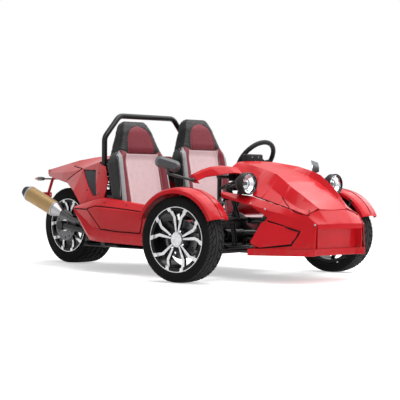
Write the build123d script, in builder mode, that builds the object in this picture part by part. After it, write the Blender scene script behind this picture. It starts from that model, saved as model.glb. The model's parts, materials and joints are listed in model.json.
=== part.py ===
"""A two-seat, three-wheeled roadster: two steered wheels in front, one driven wheel behind.

Millimetres. +X is the way it drives, +Y is its left, +Z is up. The origin is on the ground, under the
middle of its length and width. Sides are counted as -1 for the right and +1 for the left.
"""

import math
import os

from build123d import *

# The whole vehicle
wheelbase = 1860
track = 1450
nose_overhang = 632
tail_overhang = 400
front_axle_x = (wheelbase + tail_overhang - nose_overhang) / 2
rear_axle_x = front_axle_x - wheelbase
ground_clearance = 164

# Wheels and tyres
front_tyre_radius = 260
front_tyre_width = 165
front_bead_inset = 20
rear_tyre_radius = 280
rear_tyre_width = 240
rear_bead_inset = 12
bead_radius = 180
flange_radius = 196
flange_thickness = 7
rim_wall = 8
spoke_pairs = 5
spoke_turn = 87
spoke_thickness = 20
spoke_recess = 4
hub_radius = 70
hub_neck_share = 0.62
hub_depth = 25
hub_cap_radius = 40
disc_thickness = 6
front_disc_radius = 118
rear_disc_radius = 112
sprocket_radius = 92
spindle_radius = 14
rear_axle_radius = 12
caliper_size = (64, 92)
caliper_angle = 150
caliper_cheek = 12
# The line of one spoke of a pair: distance from the axle, distance from the pair's middle, half width
spoke_line = ((44, 7.6, 5), (132, 24.8, 10), (178, 64, 17))

# Fits and gaps
shaft_clearance = 0.05
seat_gap = 0.3
running_gap = 6

# Steering and front suspension
parked_steer = 9
kingpin_inset = 62
kingpin_y = track / 2 - kingpin_inset
kingpin_radius = 9
knuckle_post_radius = 19
lower_joint_z = 168
upper_joint_z = 352
arm_tube_radius = 13
arm_bush_radius = 18
arm_bush_length = 44
joint_eye_radius = 21
joint_eye_height = 26
lower_pivot_half_base = 135
upper_pivot_half_base = 100
upper_pivot_z = 372
steer_arm_length = 125
steer_eye_radius = 13
steer_eye_height = 24
tie_rod_radius = 8
tie_rod_eye_height = 20
tie_rod_z = 272
rack_half_length = 225
rack_radius = 24
bellows_length = 155
bellows_bore = 27
bellows_wall = 5
tie_rod_inner_y = 150
guard_gap = 40
guard_wall = 5
guard_overlap = 12
guard_start = 24
guard_sweep = 134
guard_stay_radius = 7

# Frame
rail_radius = 20
rail_y = 200
rail_z = ground_clearance + 26
cross_radius = 18
upper_rail_radius = 16
upper_rail_y = 228
post_radius = 14
lower_pivot_y = rail_y + rail_radius + arm_bush_radius + seat_gap
upper_pivot_y = upper_rail_y + upper_rail_radius + arm_bush_radius + seat_gap
splitter_back_x = front_axle_x + 345
rail_front_x = splitter_back_x - seat_gap
rail_rear_x = rear_axle_x + 330
tower_y = 318
tower_z = 566
tower_knob_radius = 26
dash_x = front_axle_x - 175
dash_z = 640
shock_foot_y = kingpin_y - 118
hoop_tube_radius = 19
hoop_x = rear_axle_x + 737
hoop_top_z = 1056
hoop_bend_z = 905
hoop_top_half = 253
hoop_side_half = 385
hoop_bend_radius = 70

# Body
panel_wall = 6
panel_gap = 0.8
floor_thickness = 6
floor_half = 470
splitter_thickness = 42
splitter_z = ground_clearance + 3

# Seats and controls
seat_y = 290
seat_half = 232
seat_back_x = hoop_x + 378
seat_recline = 13
back_thickness = 105
knee_gap = 90
driver_lift = 38
steering_wheel_centre = (front_axle_x - 345, seat_y, 754)
steering_wheel_radius = 148
steering_rim_radius = 16
steering_dish = 28
steering_shaft_radius = 11
column_radius = 24
column_slope = 36

# Lamps
lamp_radius = 66
lamp_depth = 95
lamp_wall = 5
lamp_centre = (front_axle_x + 258, 408, 596)

os.makedirs("parts", exist_ok=True)
SIDES = (("right", -1), ("left", 1))
UPRIGHT = (Align.CENTER, Align.CENTER, Align.MIN)


def keep(part, name):
    """Labels a finished piece and writes it as its own file."""
    part.label = name
    export_step(part, f"parts/{name}.step")


def rod(start, end, radius, mode=Mode.ADD):
    """A round bar from start to end, in the piece being built."""
    run = Vector(*end) - Vector(*start)
    with Locations(Plane(origin=start, z_dir=run).location):
        Cylinder(radius, run.length, align=UPRIGHT, mode=mode)


def along(start, end, distance):
    """The point at a distance from start on the way to end."""
    return tuple(Vector(*start) + (Vector(*end) - Vector(*start)).normalized() * distance)


def between(low, high, share):
    """The row of numbers at a share of the way from one row to another."""
    return [a + (b - a) * share for a, b in zip(low, high)]


def pairs(row):
    """A flat row of numbers as (y, z) points."""
    return list(zip(row[::2], row[1::2]))


def moved_in(points, distance):
    """A line of (y, z) points moved to its right by the distance, with its corners kept sharp."""
    moved = []
    last = len(points) - 1
    for index, point in enumerate(points):
        before = Vector(*points[max(index, 1)]) - Vector(*points[max(index, 1) - 1])
        after = Vector(*points[min(index + 1, last)]) - Vector(*points[min(index, last - 1)])
        heading = before.normalized() + after.normalized()
        reach = 2 * distance / heading.length ** 2
        moved.append((point[0] + heading.Y * reach, point[1] - heading.X * reach))
    return moved


def across(half):
    """A line over the whole width, right edge first, from the (y, z) points of the left half, edge first."""
    return [(-y, z) for y, z in half] + [(y, z) for y, z in half[::-1] if y > 0]


def sheet(stations, wall, side=1):
    """A bent sheet lofted along X, from stations of x and outer (y, z) points, mirrored where side is -1."""
    with BuildPart() as piece:
        for x, points in stations:
            outline = points + moved_in(points, wall)[::-1]
            with BuildSketch(Plane.YZ.offset(x)):
                with BuildLine():
                    Polyline(*[(side * y, z) for y, z in outline], close=True)
                make_face()
        loft(ruled=True)
    return piece.part


def wheel_profile_plane(centre, outward):
    """A plane through the wheel's axis: local x runs outward along the axle, local y is the radius."""
    return Plane(origin=centre, x_dir=(0, outward, 0), z_dir=(outward, 0, 0))


def wheel_face_plane(centre, outward):
    """The plane of the wheel's middle, facing outward."""
    return Plane(origin=centre, x_dir=(1, 0, 0), z_dir=(0, outward, 0))


def spoke_outline(bend, angle):
    """The outline of one spoke, bent to one side of its pair's middle and turned to the pair's angle."""
    near = [(reach, bend * offset - half) for reach, offset, half in spoke_line]
    far = [(reach, bend * offset + half) for reach, offset, half in spoke_line]
    turned = [Vector(x, y, 0).rotate(Axis.Z, angle) for x, y in near + far[::-1]]
    return [(point.X, point.Y) for point in turned]


def tyre(centre, radius, width, inset, outward):
    """A road tyre: straight bead, rounded sidewalls and a slightly crowned tread."""
    half = width / 2
    bead_half = half - inset
    bead_top = flange_radius + 2
    shoulder_half = half - 16
    shoulder_radius = radius - 6
    bulge_radius = (flange_radius + radius) / 2 - 4
    with BuildPart() as piece:
        with BuildSketch(wheel_profile_plane(centre, outward)):
            with BuildLine():
                Polyline((-bead_half, bead_top), (-bead_half, bead_radius), (bead_half, bead_radius),
                         (bead_half, bead_top))
                ThreePointArc((bead_half, bead_top), (half, bulge_radius), (shoulder_half, shoulder_radius))
                ThreePointArc((shoulder_half, shoulder_radius), (0, radius), (-shoulder_half, shoulder_radius))
                ThreePointArc((-shoulder_half, shoulder_radius), (-half, bulge_radius), (-bead_half, bead_top))
            make_face()
        revolve(axis=Axis(centre, (0, outward, 0)))
    return piece.part


def rim(centre, width, inset, outward, bore, hub_reach=None):
    """A cast wheel: barrel with two flanges, pairs of bent spokes, a hub that is capped or reaches through."""
    half = width / 2 - inset
    flange_outer = half + flange_thickness
    seat = bead_radius - seat_gap
    barrel = seat - rim_wall
    groove = half + seat_gap
    face = half - spoke_recess
    middle = wheel_face_plane(centre, outward)
    with BuildPart() as piece:
        with BuildSketch(wheel_profile_plane(centre, outward)):
            with BuildLine():
                Polyline((-flange_outer, flange_radius), (-groove, flange_radius), (-groove, seat),
                         (groove, seat), (groove, flange_radius), (flange_outer, flange_radius),
                         (flange_outer, barrel), (-flange_outer, barrel), close=True)
            make_face()
        revolve(axis=Axis(centre, (0, outward, 0)))
        # Each pair of spokes leaves the hub close together and bends apart on its way to the barrel.
        with BuildSketch(middle.offset(face - spoke_thickness)):
            for pair in range(spoke_pairs):
                for bend in (-1, 1):
                    with BuildLine():
                        Polyline(*spoke_outline(bend, spoke_turn + 360 / spoke_pairs * pair), close=True)
                    make_face()
            Circle(barrel + rim_wall / 2, mode=Mode.INTERSECT)
        extrude(amount=spoke_thickness)
        hub_back = face - spoke_thickness - hub_depth
        if hub_reach is None:
            hub_spans = ((hub_back, hub_radius, face - spoke_recess),
                         (face - spoke_recess, hub_cap_radius, face + 4))
            bore_end = face - spoke_thickness / 2
        else:
            hub_spans = ((-hub_reach, hub_radius * hub_neck_share, hub_reach),
                         (hub_back, hub_radius, face - spoke_recess))
            bore_end = hub_reach + 1
        for low, radius, high in hub_spans:
            with BuildSketch(middle.offset(low)):
                Circle(radius)
            extrude(amount=high - low)
        bore_start = hub_spans[0][0] - 1
        with BuildSketch(middle.offset(bore_start)):
            Circle(bore)
        extrude(amount=bore_end - bore_start, mode=Mode.SUBTRACT)
    return piece.part


def drilled_disc(centre, outward, offset, radius, bore, holes, hole_radius):
    """A flat disc with a centre hole and a ring of drillings, its inner face at the offset."""
    with BuildPart() as piece:
        with BuildSketch(wheel_face_plane(centre, outward).offset(offset)):
            Circle(radius)
            Circle(bore, mode=Mode.SUBTRACT)
            with PolarLocations(radius * 0.8, holes):
                Circle(hole_radius, mode=Mode.SUBTRACT)
        extrude(amount=disc_thickness)
    return piece.part


# Front corners: wheel, tyre, disc, knuckle, mudguard and tie rod, all turned to the parked steering angle
front_face = front_tyre_width / 2 - front_bead_inset - spoke_recess
front_hub_back = front_face - spoke_thickness - hub_depth
front_bore = spindle_radius + shaft_clearance
guard_radius = front_tyre_radius + guard_gap
guard_half = front_tyre_width / 2 + guard_overlap
guard_lip = guard_radius - 25
steer_arm_z = tie_rod_z - tie_rod_eye_height / 2 - steer_eye_height / 2 - seat_gap
for side_name, side in SIDES:
    wheel_centre = (front_axle_x, side * track / 2, front_tyre_radius)
    kingpin = Axis((front_axle_x, side * kingpin_y, 0), (0, 0, 1))
    front_tyre = tyre(wheel_centre, front_tyre_radius, front_tyre_width, front_bead_inset, side)
    keep(front_tyre.rotate(kingpin, parked_steer), f"front_tyre_{side_name}")
    front_rim = rim(wheel_centre, front_tyre_width, front_bead_inset, side, front_bore)
    keep(front_rim.rotate(kingpin, parked_steer), f"front_rim_{side_name}")
    disc_offset = front_hub_back - disc_thickness - seat_gap
    disc = drilled_disc(wheel_centre, side, disc_offset, front_disc_radius, spindle_radius + running_gap, 12, 7)
    keep(disc.rotate(kingpin, parked_steer), f"front_disc_{side_name}")

    # The knuckle: a post on the kingpin, a stub axle into the hub, an arm for the tie rod, stays for the guard
    # and the brake caliper, which comes first so that the slot for the disc cuts nothing else.
    stub_y = wheel_centre[1] + side * (disc_offset - running_gap)
    stub_tip_y = wheel_centre[1] + side * (front_face - spoke_thickness / 2 - 2)
    steer_eye = (front_axle_x - steer_arm_length, side * kingpin_y)
    stay_y = wheel_centre[1] - side * (guard_half + guard_stay_radius + seat_gap)
    caliper_back = disc_offset - running_gap - caliper_cheek
    caliper_plane = wheel_face_plane(wheel_centre, side).offset(caliper_back)
    caliper_place = Vector(front_disc_radius - 12, 0, 0).rotate(Axis.Z, -side * caliper_angle)
    caliper_z = front_tyre_radius + abs(caliper_place.Y)
    with BuildPart() as knuckle:
        with BuildSketch(caliper_plane):
            with Locations((caliper_place.X, caliper_place.Y)):
                Rectangle(*caliper_size, rotation=-side * caliper_angle)
        extrude(amount=disc_thickness + 2 * (running_gap + caliper_cheek))
        with BuildSketch(caliper_plane.offset(caliper_cheek)):
            Circle(front_disc_radius + running_gap)
        extrude(amount=disc_thickness + 2 * running_gap, mode=Mode.SUBTRACT)
        rod((front_axle_x, side * kingpin_y, caliper_z),
            (front_axle_x + caliper_place.X, wheel_centre[1] + side * caliper_back, caliper_z), 9)
        post = (front_axle_x, side * kingpin_y)
        stub = (front_axle_x, stub_y, front_tyre_radius)
        rod((*post, lower_joint_z - joint_eye_height / 2), (*post, upper_joint_z + joint_eye_height / 2),
            kingpin_radius)
        rod((*post, lower_joint_z + joint_eye_height / 2 + seat_gap),
            (*post, upper_joint_z - joint_eye_height / 2 - seat_gap), knuckle_post_radius)
        rod((*post, front_tyre_radius), stub, 34)
        rod(stub, (front_axle_x, stub_tip_y, front_tyre_radius), spindle_radius)
        rod((front_axle_x, side * kingpin_y, steer_arm_z), (*steer_eye, steer_arm_z), steer_eye_height / 2)
        rod((*steer_eye, steer_arm_z - steer_eye_height / 2), (*steer_eye, steer_arm_z + steer_eye_height / 2),
            steer_eye_radius)
        for reach in (-1, 1):
            shoulder = (front_axle_x + reach * 85, side * kingpin_y, front_tyre_radius + 40)
            elbow = (front_axle_x + reach * 100, stay_y, front_tyre_radius + 60)
            angle = math.radians(90 - reach * 38)
            tip = (front_axle_x + guard_radius * math.cos(angle), stay_y,
                   front_tyre_radius + guard_radius * math.sin(angle))
            rod((front_axle_x, side * kingpin_y, front_tyre_radius + 30), shoulder, guard_stay_radius)
            rod(shoulder, elbow, guard_stay_radius)
            rod(elbow, tip, guard_stay_radius)
            for knee in (shoulder, elbow):
                with Locations(knee):
                    Sphere(guard_stay_radius)
    keep(knuckle.part.rotate(kingpin, parked_steer), f"knuckle_{side_name}")

    # The mudguard: a crowned strip with chamfered shoulders and turned-down edges, swept round the tyre.
    guard_line = [(-guard_half, guard_lip), (-guard_half, guard_radius - 4),
                  (-guard_half + 16, guard_radius + 7), (0, guard_radius + 14),
                  (guard_half - 16, guard_radius + 7), (guard_half, guard_radius - 4), (guard_half, guard_lip)]
    guard_axis = Axis(wheel_centre, (0, -1, 0))
    with BuildPart() as mudguard:
        with BuildSketch(wheel_profile_plane(wheel_centre, 1)):
            with BuildLine():
                Polyline(*guard_line, *moved_in(guard_line, guard_wall)[::-1], close=True)
            make_face()
        revolve(axis=guard_axis, revolution_arc=guard_sweep)
    swept = mudguard.part.rotate(guard_axis, guard_start - 90)
    keep(swept.rotate(kingpin, parked_steer), f"mudguard_{side_name}")

    # The tie rod: its outer eye rides on the knuckle's arm, its inner end slides in the rack's bellows.
    turn = math.radians(parked_steer)
    eye_x = front_axle_x - steer_arm_length * math.cos(turn)
    rack_travel = -steer_arm_length * math.sin(turn)
    eye_y = side * kingpin_y + rack_travel
    with BuildPart() as tie_rod:
        rod((eye_x, eye_y, tie_rod_z - tie_rod_eye_height / 2),
            (eye_x, eye_y, tie_rod_z + tie_rod_eye_height / 2), steer_eye_radius)
        rod((eye_x, eye_y, tie_rod_z), (eye_x, side * tie_rod_inner_y + rack_travel, tie_rod_z), tie_rod_radius)
    keep(tie_rod.part, f"tie_rod_{side_name}")

# Wishbones: two legs from the frame's pivots to the eye that holds the knuckle's pin
arm_tables = (
    ("lower_wishbones", lower_pivot_y, lower_pivot_half_base, rail_z, lower_joint_z),
    ("upper_wishbones", upper_pivot_y, upper_pivot_half_base, upper_pivot_z, upper_joint_z),
)
neck_y = kingpin_y - joint_eye_radius + 4
foot_share = (neck_y - shock_foot_y) / (neck_y - lower_pivot_y)
shock_foot_z = lower_joint_z + (rail_z - lower_joint_z) * foot_share
shock_pin_radius = 9
for name, pivot_y, half_base, pivot_z, joint_z in arm_tables:
    with BuildPart() as wishbones:
        for _, side in SIDES:
            neck = (front_axle_x, side * neck_y, joint_z)
            for reach in (-1, 1):
                pivot_x = front_axle_x + reach * half_base
                rod((pivot_x, side * pivot_y, pivot_z), neck, arm_tube_radius)
                rod((pivot_x - arm_bush_length / 2, side * pivot_y, pivot_z),
                    (pivot_x + arm_bush_length / 2, side * pivot_y, pivot_z), arm_bush_radius)
            with Locations(neck):
                Sphere(arm_tube_radius)
            rod((front_axle_x, side * kingpin_y, joint_z - joint_eye_height / 2),
                (front_axle_x, side * kingpin_y, joint_z + joint_eye_height / 2), joint_eye_radius)
            rod((front_axle_x, side * kingpin_y, joint_z - joint_eye_height),
                (front_axle_x, side * kingpin_y, joint_z + joint_eye_height), kingpin_radius + shaft_clearance,
                mode=Mode.SUBTRACT)
            if name == "lower_wishbones":
                pin_half = half_base * foot_share
                rod((front_axle_x - pin_half, side * shock_foot_y, shock_foot_z),
                    (front_axle_x + pin_half, side * shock_foot_y, shock_foot_z), shock_pin_radius)
    keep(wishbones.part, name)

# Front shocks: an eye on the lower arm's pin, a damper, a coil spring and a top eye at the tower
spring_radius = 31
spring_core_radius = 23
spring_turns = 7
shock_eye_half = 11
with BuildPart() as front_shocks:
    for _, side in SIDES:
        foot = (front_axle_x, side * shock_foot_y, shock_foot_z)
        top = (front_axle_x, side * tower_y, tower_z)
        length = (Vector(*top) - Vector(*foot)).length
        spring_low = 0.28 * length
        spring_high = 0.84 * length
        pitch = (spring_high - spring_low) / spring_turns
        shock_plane = Plane(origin=foot, x_dir=(1, 0, 0), z_dir=Vector(*top) - Vector(*foot))
        with BuildSketch(Plane(origin=foot, x_dir=(1, 0, 0), z_dir=-shock_plane.y_dir)):
            with BuildLine():
                coils = []
                for turn_index in range(spring_turns):
                    start = spring_low + pitch * turn_index
                    coils += [(spring_core_radius, start), (spring_radius, start + pitch * 0.3),
                              (spring_radius, start + pitch * 0.6)]
                Polyline((0, 10), (15, 10), (15, spring_low - 20), (spring_radius, spring_low - 20),
                         (spring_radius, spring_low - 12), *coils, (spring_core_radius, spring_high),
                         (spring_radius, spring_high), (spring_radius, spring_high + 10), (9, spring_high + 10),
                         (9, length - tower_knob_radius - seat_gap), (0, length - tower_knob_radius - seat_gap),
                         close=True)
            make_face()
        revolve(axis=Axis(foot, Vector(*top) - Vector(*foot)))
        eye_ends = [(foot[0] + reach * shock_eye_half, foot[1], foot[2]) for reach in (-1, 1)]
        rod(*eye_ends, shock_pin_radius + 6)
        rod(*eye_ends, shock_pin_radius + seat_gap, mode=Mode.SUBTRACT)
keep(front_shocks.part, "front_shocks")

# Steering rack: a tube across the frame on two saddles, with an open bellows at each end
rack_x = front_axle_x - steer_arm_length
rack_core_half = rack_half_length - bellows_length
saddle_y = 45
saddle_radius = 14
with BuildPart() as steering_rack:
    rod((rack_x, -rack_core_half, tie_rod_z), (rack_x, rack_core_half, tie_rod_z), rack_radius)
    for _, side in SIDES:
        rod((rack_x, side * rack_core_half, tie_rod_z), (rack_x, side * rack_half_length, tie_rod_z),
            bellows_bore + bellows_wall)
        rod((rack_x, side * (rack_core_half + bellows_wall), tie_rod_z),
            (rack_x, side * (rack_half_length + 5), tie_rod_z), bellows_bore, mode=Mode.SUBTRACT)
        rod((rack_x, side * saddle_y, rail_z + cross_radius + seat_gap), (rack_x, side * saddle_y, tie_rod_z),
            saddle_radius)
keep(steering_rack.part, "steering_rack")

# Side pods: a folded sill sheet along each side of the cockpit, its front end set from the front axle
# columns: x from the rear axle, then half width and height of lip, rim, shoulder, waist, sill and foot
pod_front_x = front_axle_x - 340
pod_front_row = (532, 437, 554, 432, 600, 400, 566, 272, 610, 231, 600, 192)
pod_stations = (
    (930, 532, 498, 554, 492, 600, 424, 566, 290, 606, 238, 596, 206),
    (820, 529, 484, 548, 477, 592, 428, 562, 300, 592, 246, 582, 214),
    (602, 515, 438, 526, 436, 548, 430, 542, 420, 546, 412, 540, 404),
)
pod_sections = [(pod_front_x, pairs(pod_front_row))]
pod_sections += [(rear_axle_x + dx, pairs(row)) for dx, *row in pod_stations]
with BuildPart() as side_pods:
    for _, side in SIDES:
        add(sheet(pod_sections, panel_wall, side))
keep(side_pods.part, "side_pods")

# Floor frame: two main rails, cross tubes between them and outriggers that reach out to the pods and the hoop
pod_wall = [moved_in(points, panel_wall)[-1][0] for _, points in pod_sections]
pod_rear_x = pod_sections[1][0]
outriggers = [(hoop_x, hoop_side_half + hoop_tube_radius)]
for share in (0.07, 0.93):
    reach_x = pod_front_x + (pod_rear_x - pod_front_x) * share
    reach_y = pod_wall[0] + (pod_wall[1] - pod_wall[0]) * share - seat_gap
    outriggers.append((reach_x, reach_y))
cross_xs = (rail_front_x - 40, rack_x, front_axle_x - 330, hoop_x + 263, hoop_x - 75, rail_rear_x + 40)
with BuildPart() as floor_frame:
    for _, side in SIDES:
        rod((rail_rear_x, side * rail_y, rail_z), (rail_front_x, side * rail_y, rail_z), rail_radius)
    inner_end = rail_y - rail_radius - seat_gap
    outer_start = rail_y + rail_radius + seat_gap
    for cross_x in cross_xs:
        rod((cross_x, -inner_end, rail_z), (cross_x, inner_end, rail_z), cross_radius)
    for reach_x, reach_y in outriggers:
        for _, side in SIDES:
            rod((reach_x, side * outer_start, rail_z), (reach_x, side * reach_y, rail_z), cross_radius)
keep(floor_frame.part, "floor_frame")

# Roll hoop behind the seats: one bent tube standing on the outriggers
with BuildPart() as roll_hoop:
    foot_z = rail_z + cross_radius + seat_gap
    with BuildLine() as hoop_path:
        FilletPolyline((hoop_x, -hoop_side_half, foot_z), (hoop_x, -hoop_side_half, hoop_bend_z),
                       (hoop_x, -hoop_top_half, hoop_top_z), (hoop_x, hoop_top_half, hoop_top_z),
                       (hoop_x, hoop_side_half, hoop_bend_z), (hoop_x, hoop_side_half, foot_z),
                       radius=hoop_bend_radius)
    with BuildSketch(Plane(origin=hoop_path.line @ 0, z_dir=hoop_path.line % 0)):
        Circle(hoop_tube_radius)
    sweep()
keep(roll_hoop.part, "roll_hoop")

# Front frame: posts on the rails, upper rails for the top arms, shock towers and the hoop that carries the dash
front_post_xs = (dash_x, front_axle_x + 175)
upper_rail_front_x = front_axle_x + 330
brace_x = front_axle_x - 58
brace_radius = 16
brace_top_y = 212
stay_radius = 10
stay_start_z = 560
stay_end = (front_axle_x + 80, 284, 628)
column_reach_y = seat_y - column_radius - seat_gap
with BuildPart() as front_frame:
    for _, side in SIDES:
        rod((dash_x - 30, side * upper_rail_y, upper_pivot_z),
            (upper_rail_front_x, side * upper_rail_y, upper_pivot_z), upper_rail_radius)
        for post_x in front_post_xs:
            post_foot = (post_x, side * rail_y, rail_z)
            post_head = (post_x, side * upper_rail_y, upper_pivot_z)
            rod(along(post_foot, post_head, rail_radius + 2),
                along(post_head, post_foot, upper_rail_radius + seat_gap), post_radius)
        rod((dash_x, side * upper_rail_y, upper_pivot_z + upper_rail_radius + seat_gap),
            (dash_x, side * upper_rail_y, dash_z - post_radius - seat_gap), post_radius)
        tower_foot = (front_axle_x, side * upper_rail_y, upper_pivot_z)
        tower = (front_axle_x, side * tower_y, tower_z)
        rod(along(tower_foot, tower, upper_rail_radius + seat_gap),
            along(tower, tower_foot, tower_knob_radius + seat_gap), post_radius)
        with Locations(tower):
            Sphere(tower_knob_radius)
        # A stout leg from rail to rail, a brace on to the bar between the towers, a stay under the cowl's edge.
        leg_foot = (brace_x, side * rail_y, rail_z)
        leg_head = (brace_x, side * upper_rail_y, upper_pivot_z)
        brace_top = (front_axle_x, side * brace_top_y, tower_z)
        rod(along(leg_foot, leg_head, rail_radius + 2),
            along(leg_head, leg_foot, upper_rail_radius + seat_gap), brace_radius)
        rod(along(leg_head, brace_top, upper_rail_radius + 2),
            along(brace_top, leg_head, post_radius + 2), brace_radius)
        stay_start = (dash_x, side * upper_rail_y, stay_start_z)
        stay_tip = (stay_end[0], side * stay_end[1], stay_end[2])
        rod(along(stay_start, stay_tip, post_radius + 2), stay_tip, stay_radius)
    knob_edge = tower_y - tower_knob_radius - seat_gap
    rod((front_axle_x, -knob_edge, tower_z), (front_axle_x, knob_edge, tower_z), post_radius)
    rod((dash_x, -upper_rail_y - post_radius, dash_z), (dash_x, column_reach_y, dash_z), post_radius)
keep(front_frame.part, "front_frame")

# Floor pan under the rails, wide at the seats and narrow in the nose
floor_z = rail_z - rail_radius - seat_gap - floor_thickness
floor_front_x = front_axle_x - 300
floor_rear_x = rail_rear_x + 290
floor_neck = rail_y + 30
with BuildPart() as floor_pan:
    with BuildSketch(Plane.XY.offset(floor_z)):
        with BuildLine():
            Polyline((floor_front_x, floor_half), (floor_rear_x, floor_half), (rail_rear_x, floor_neck),
                     (rail_rear_x, -floor_neck), (floor_rear_x, -floor_half), (floor_front_x, -floor_half),
                     (floor_front_x, -floor_neck), (rail_front_x, -floor_neck), (rail_front_x, floor_neck),
                     (floor_front_x, floor_neck), close=True)
        make_face()
    extrude(amount=floor_thickness)
keep(floor_pan.part, "floor_pan")

# Fuel tank across the nose, between the upper rails
tank_half = upper_rail_y - upper_rail_radius - seat_gap
tank_x = front_axle_x + 272
tank_z = 366
tank_radius = 58
with BuildPart() as fuel_tank:
    rod((tank_x, -tank_half, tank_z), (tank_x, tank_half, tank_z), tank_radius)
keep(fuel_tank.part, "fuel_tank")

# Pedals on a shaft between the upper rails, in front of the driver's side of the footwell
pedal_shaft_x = front_axle_x + 100
pedal_pad = (front_axle_x + 46, 468)
pedal_tilt = (-0.9, 0, 0.44)
with BuildPart() as pedals:
    rod((pedal_shaft_x, -tank_half, upper_pivot_z), (pedal_shaft_x, tank_half, upper_pivot_z), 8)
    for pedal_y in (70, 160):
        pad_place = (pedal_pad[0], pedal_y, pedal_pad[1])
        rod((pedal_shaft_x, pedal_y, upper_pivot_z), pad_place, 7)
        with Locations(Plane(origin=pad_place, x_dir=(0, 1, 0), z_dir=pedal_tilt).location):
            Box(52, 74, 8)
keep(pedals.part, "pedals")

# Nose cowl: a sheet that drops from the dash to the nose, with a sunk channel between two ridges
# columns: x from the front axle, half width and height of edge, shoulder, ridge and wall foot, centre height
cowl_stations = (
    (-45, 245, 703, 200, 730, 165, 735, 140, 737, 741),
    (100, 283, 652, 247, 677, 214, 710, 160, 690, 696),
    (205, 297, 600, 276, 630, 212, 684, 185, 645, 650),
    (245, 368, 524, 277, 611, 209, 673, 185, 629, 633),
    (300, 350, 506, 268, 571, 205, 653, 186, 606, 607),
    (400, 308, 473, 252, 505, 199, 585, 176, 548, 545),
    (490, 272, 443, 235, 454, 171, 519, 154, 497, 492),
    (568, 247, 414, 215, 425, 135, 453, 118, 446, 441),
)
cowl_sections = [(front_axle_x + dx, across(pairs([*row, 0, centre]))) for dx, *row, centre in cowl_stations]
keep(sheet(cowl_sections, panel_wall), "nose_cowl")

# Nose cheeks: a flange beside the cowl's edge that runs back to a point, over a flat side down to the splitter
# columns: x from the front axle, half width and height of the fold, half width of the foot
splitter_top = splitter_z + splitter_thickness
cheek_foot = splitter_top + 4 * seat_gap
cowl_seam = 4
nose_tip_dx = 630
cheek_folds = (
    (245, 437, 483, 488),
    (300, 410, 463, 462),
    (400, 355, 430, 400),
    (490, 304, 402, 337),
    (568, 260, 375, 283),
)
cowl_edges = {row[0]: row[1:3] for row in cowl_stations}
cheek_sections = [(front_axle_x + 87, [(468, 546), (480, 537), (479, 528)])]
for dx, fold_y, fold_z, foot_y in cheek_folds:
    edge_y, edge_z = cowl_edges[dx]
    flange_edge = (edge_y + cowl_seam, edge_z - cowl_seam)
    cheek_sections.append((front_axle_x + dx, [flange_edge, (fold_y, fold_z), (foot_y, cheek_foot)]))
cheek_sections.append((front_axle_x + nose_tip_dx, [(222, 362), (228, 350), (238, cheek_foot)]))
# The notch cut out of the cheek behind its slanted rear edge: x from the front axle, height
cheek_notch = ((40, 526), (280, 465), (376, 394), (306, 245), (337, cheek_foot - 5), (40, cheek_foot - 5))
with BuildPart() as nose_cheeks:
    for _, side in SIDES:
        add(sheet(cheek_sections, panel_wall, side))
    with BuildSketch(Plane.XZ):
        with BuildLine():
            Polyline(*[(front_axle_x + dx, z) for dx, z in cheek_notch], close=True)
        make_face()
    extrude(amount=track / 2, both=True, mode=Mode.SUBTRACT)
keep(nose_cheeks.part, "nose_cheeks")

# Insets: six-sided plates that lie on the cheeks
inset_thickness = 7
inset_corners = ((352, 364), (370, 373), (545, 318), (522, 241), (360, cheek_foot + 5), (308, 246))
inset_sections = [(x, moved_in(points, -inset_thickness - seat_gap)) for x, points in cheek_sections[1:]]
with BuildPart() as nose_insets:
    for _, side in SIDES:
        add(sheet(inset_sections, inset_thickness, side))
    with BuildSketch(Plane.XZ):
        with BuildLine():
            Polyline(*[(front_axle_x + dx, z) for dx, z in inset_corners], close=True)
        make_face()
    extrude(amount=track / 2, both=True, mode=Mode.INTERSECT)
keep(nose_insets.part, "nose_insets")

# Splitter under the nose, with an ear on each side of its recessed centre
# columns: x from the front axle, half width
splitter_corners = ((300, 470), (612, 262), (nose_overhang, 236), (592, 190))
splitter_side = [(front_axle_x + dx, half) for dx, half in splitter_corners]
with BuildPart() as splitter:
    with BuildSketch(Plane.XY.offset(splitter_z)):
        with BuildLine():
            Polyline((splitter_back_x, 380), *splitter_side, *[(x, -y) for x, y in splitter_side[::-1]],
                     (splitter_back_x, -380), close=True)
        make_face()
    extrude(amount=splitter_thickness)
keep(splitter.part, "splitter")

# Fascia: a steep plate from the cowl's front edge to the nose, its lip, a panel set back below and two fins
fascia_foot = splitter_top + seat_gap
lip_z = 357
lip_half = 213
plate_rows = ((568.5, 243, 410, 135, 440, 437), (nose_tip_dx, lip_half, lip_z - 1, 110, lip_z, lip_z + 1))
plate_sections = [(front_axle_x + dx, across(pairs([*row, 0, centre]))) for dx, *row, centre in plate_rows]
lip_bend = [(630, lip_z), (630, 328), (588, 322), (582, fascia_foot), (576, fascia_foot), (582, 328),
            (624, 334), (624, lip_z)]
fin_y = 207
fin_corners = ((578, fascia_foot), (628, fascia_foot), (628, 330), (586, 324))
with BuildPart() as nose_fascia:
    add(sheet(plate_sections, panel_wall))
    with BuildSketch(Plane.XZ):
        with BuildLine():
            Polyline(*[(front_axle_x + dx, z) for dx, z in lip_bend], close=True)
        make_face()
    extrude(amount=lip_half, both=True)
    for _, side in SIDES:
        with BuildSketch(Plane.XZ.offset(-side * fin_y)):
            with BuildLine():
                Polyline(*[(front_axle_x + dx, z) for dx, z in fin_corners], close=True)
            make_face()
        extrude(amount=panel_wall / 2, both=True)
keep(nose_fascia.part, "nose_fascia")

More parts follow.
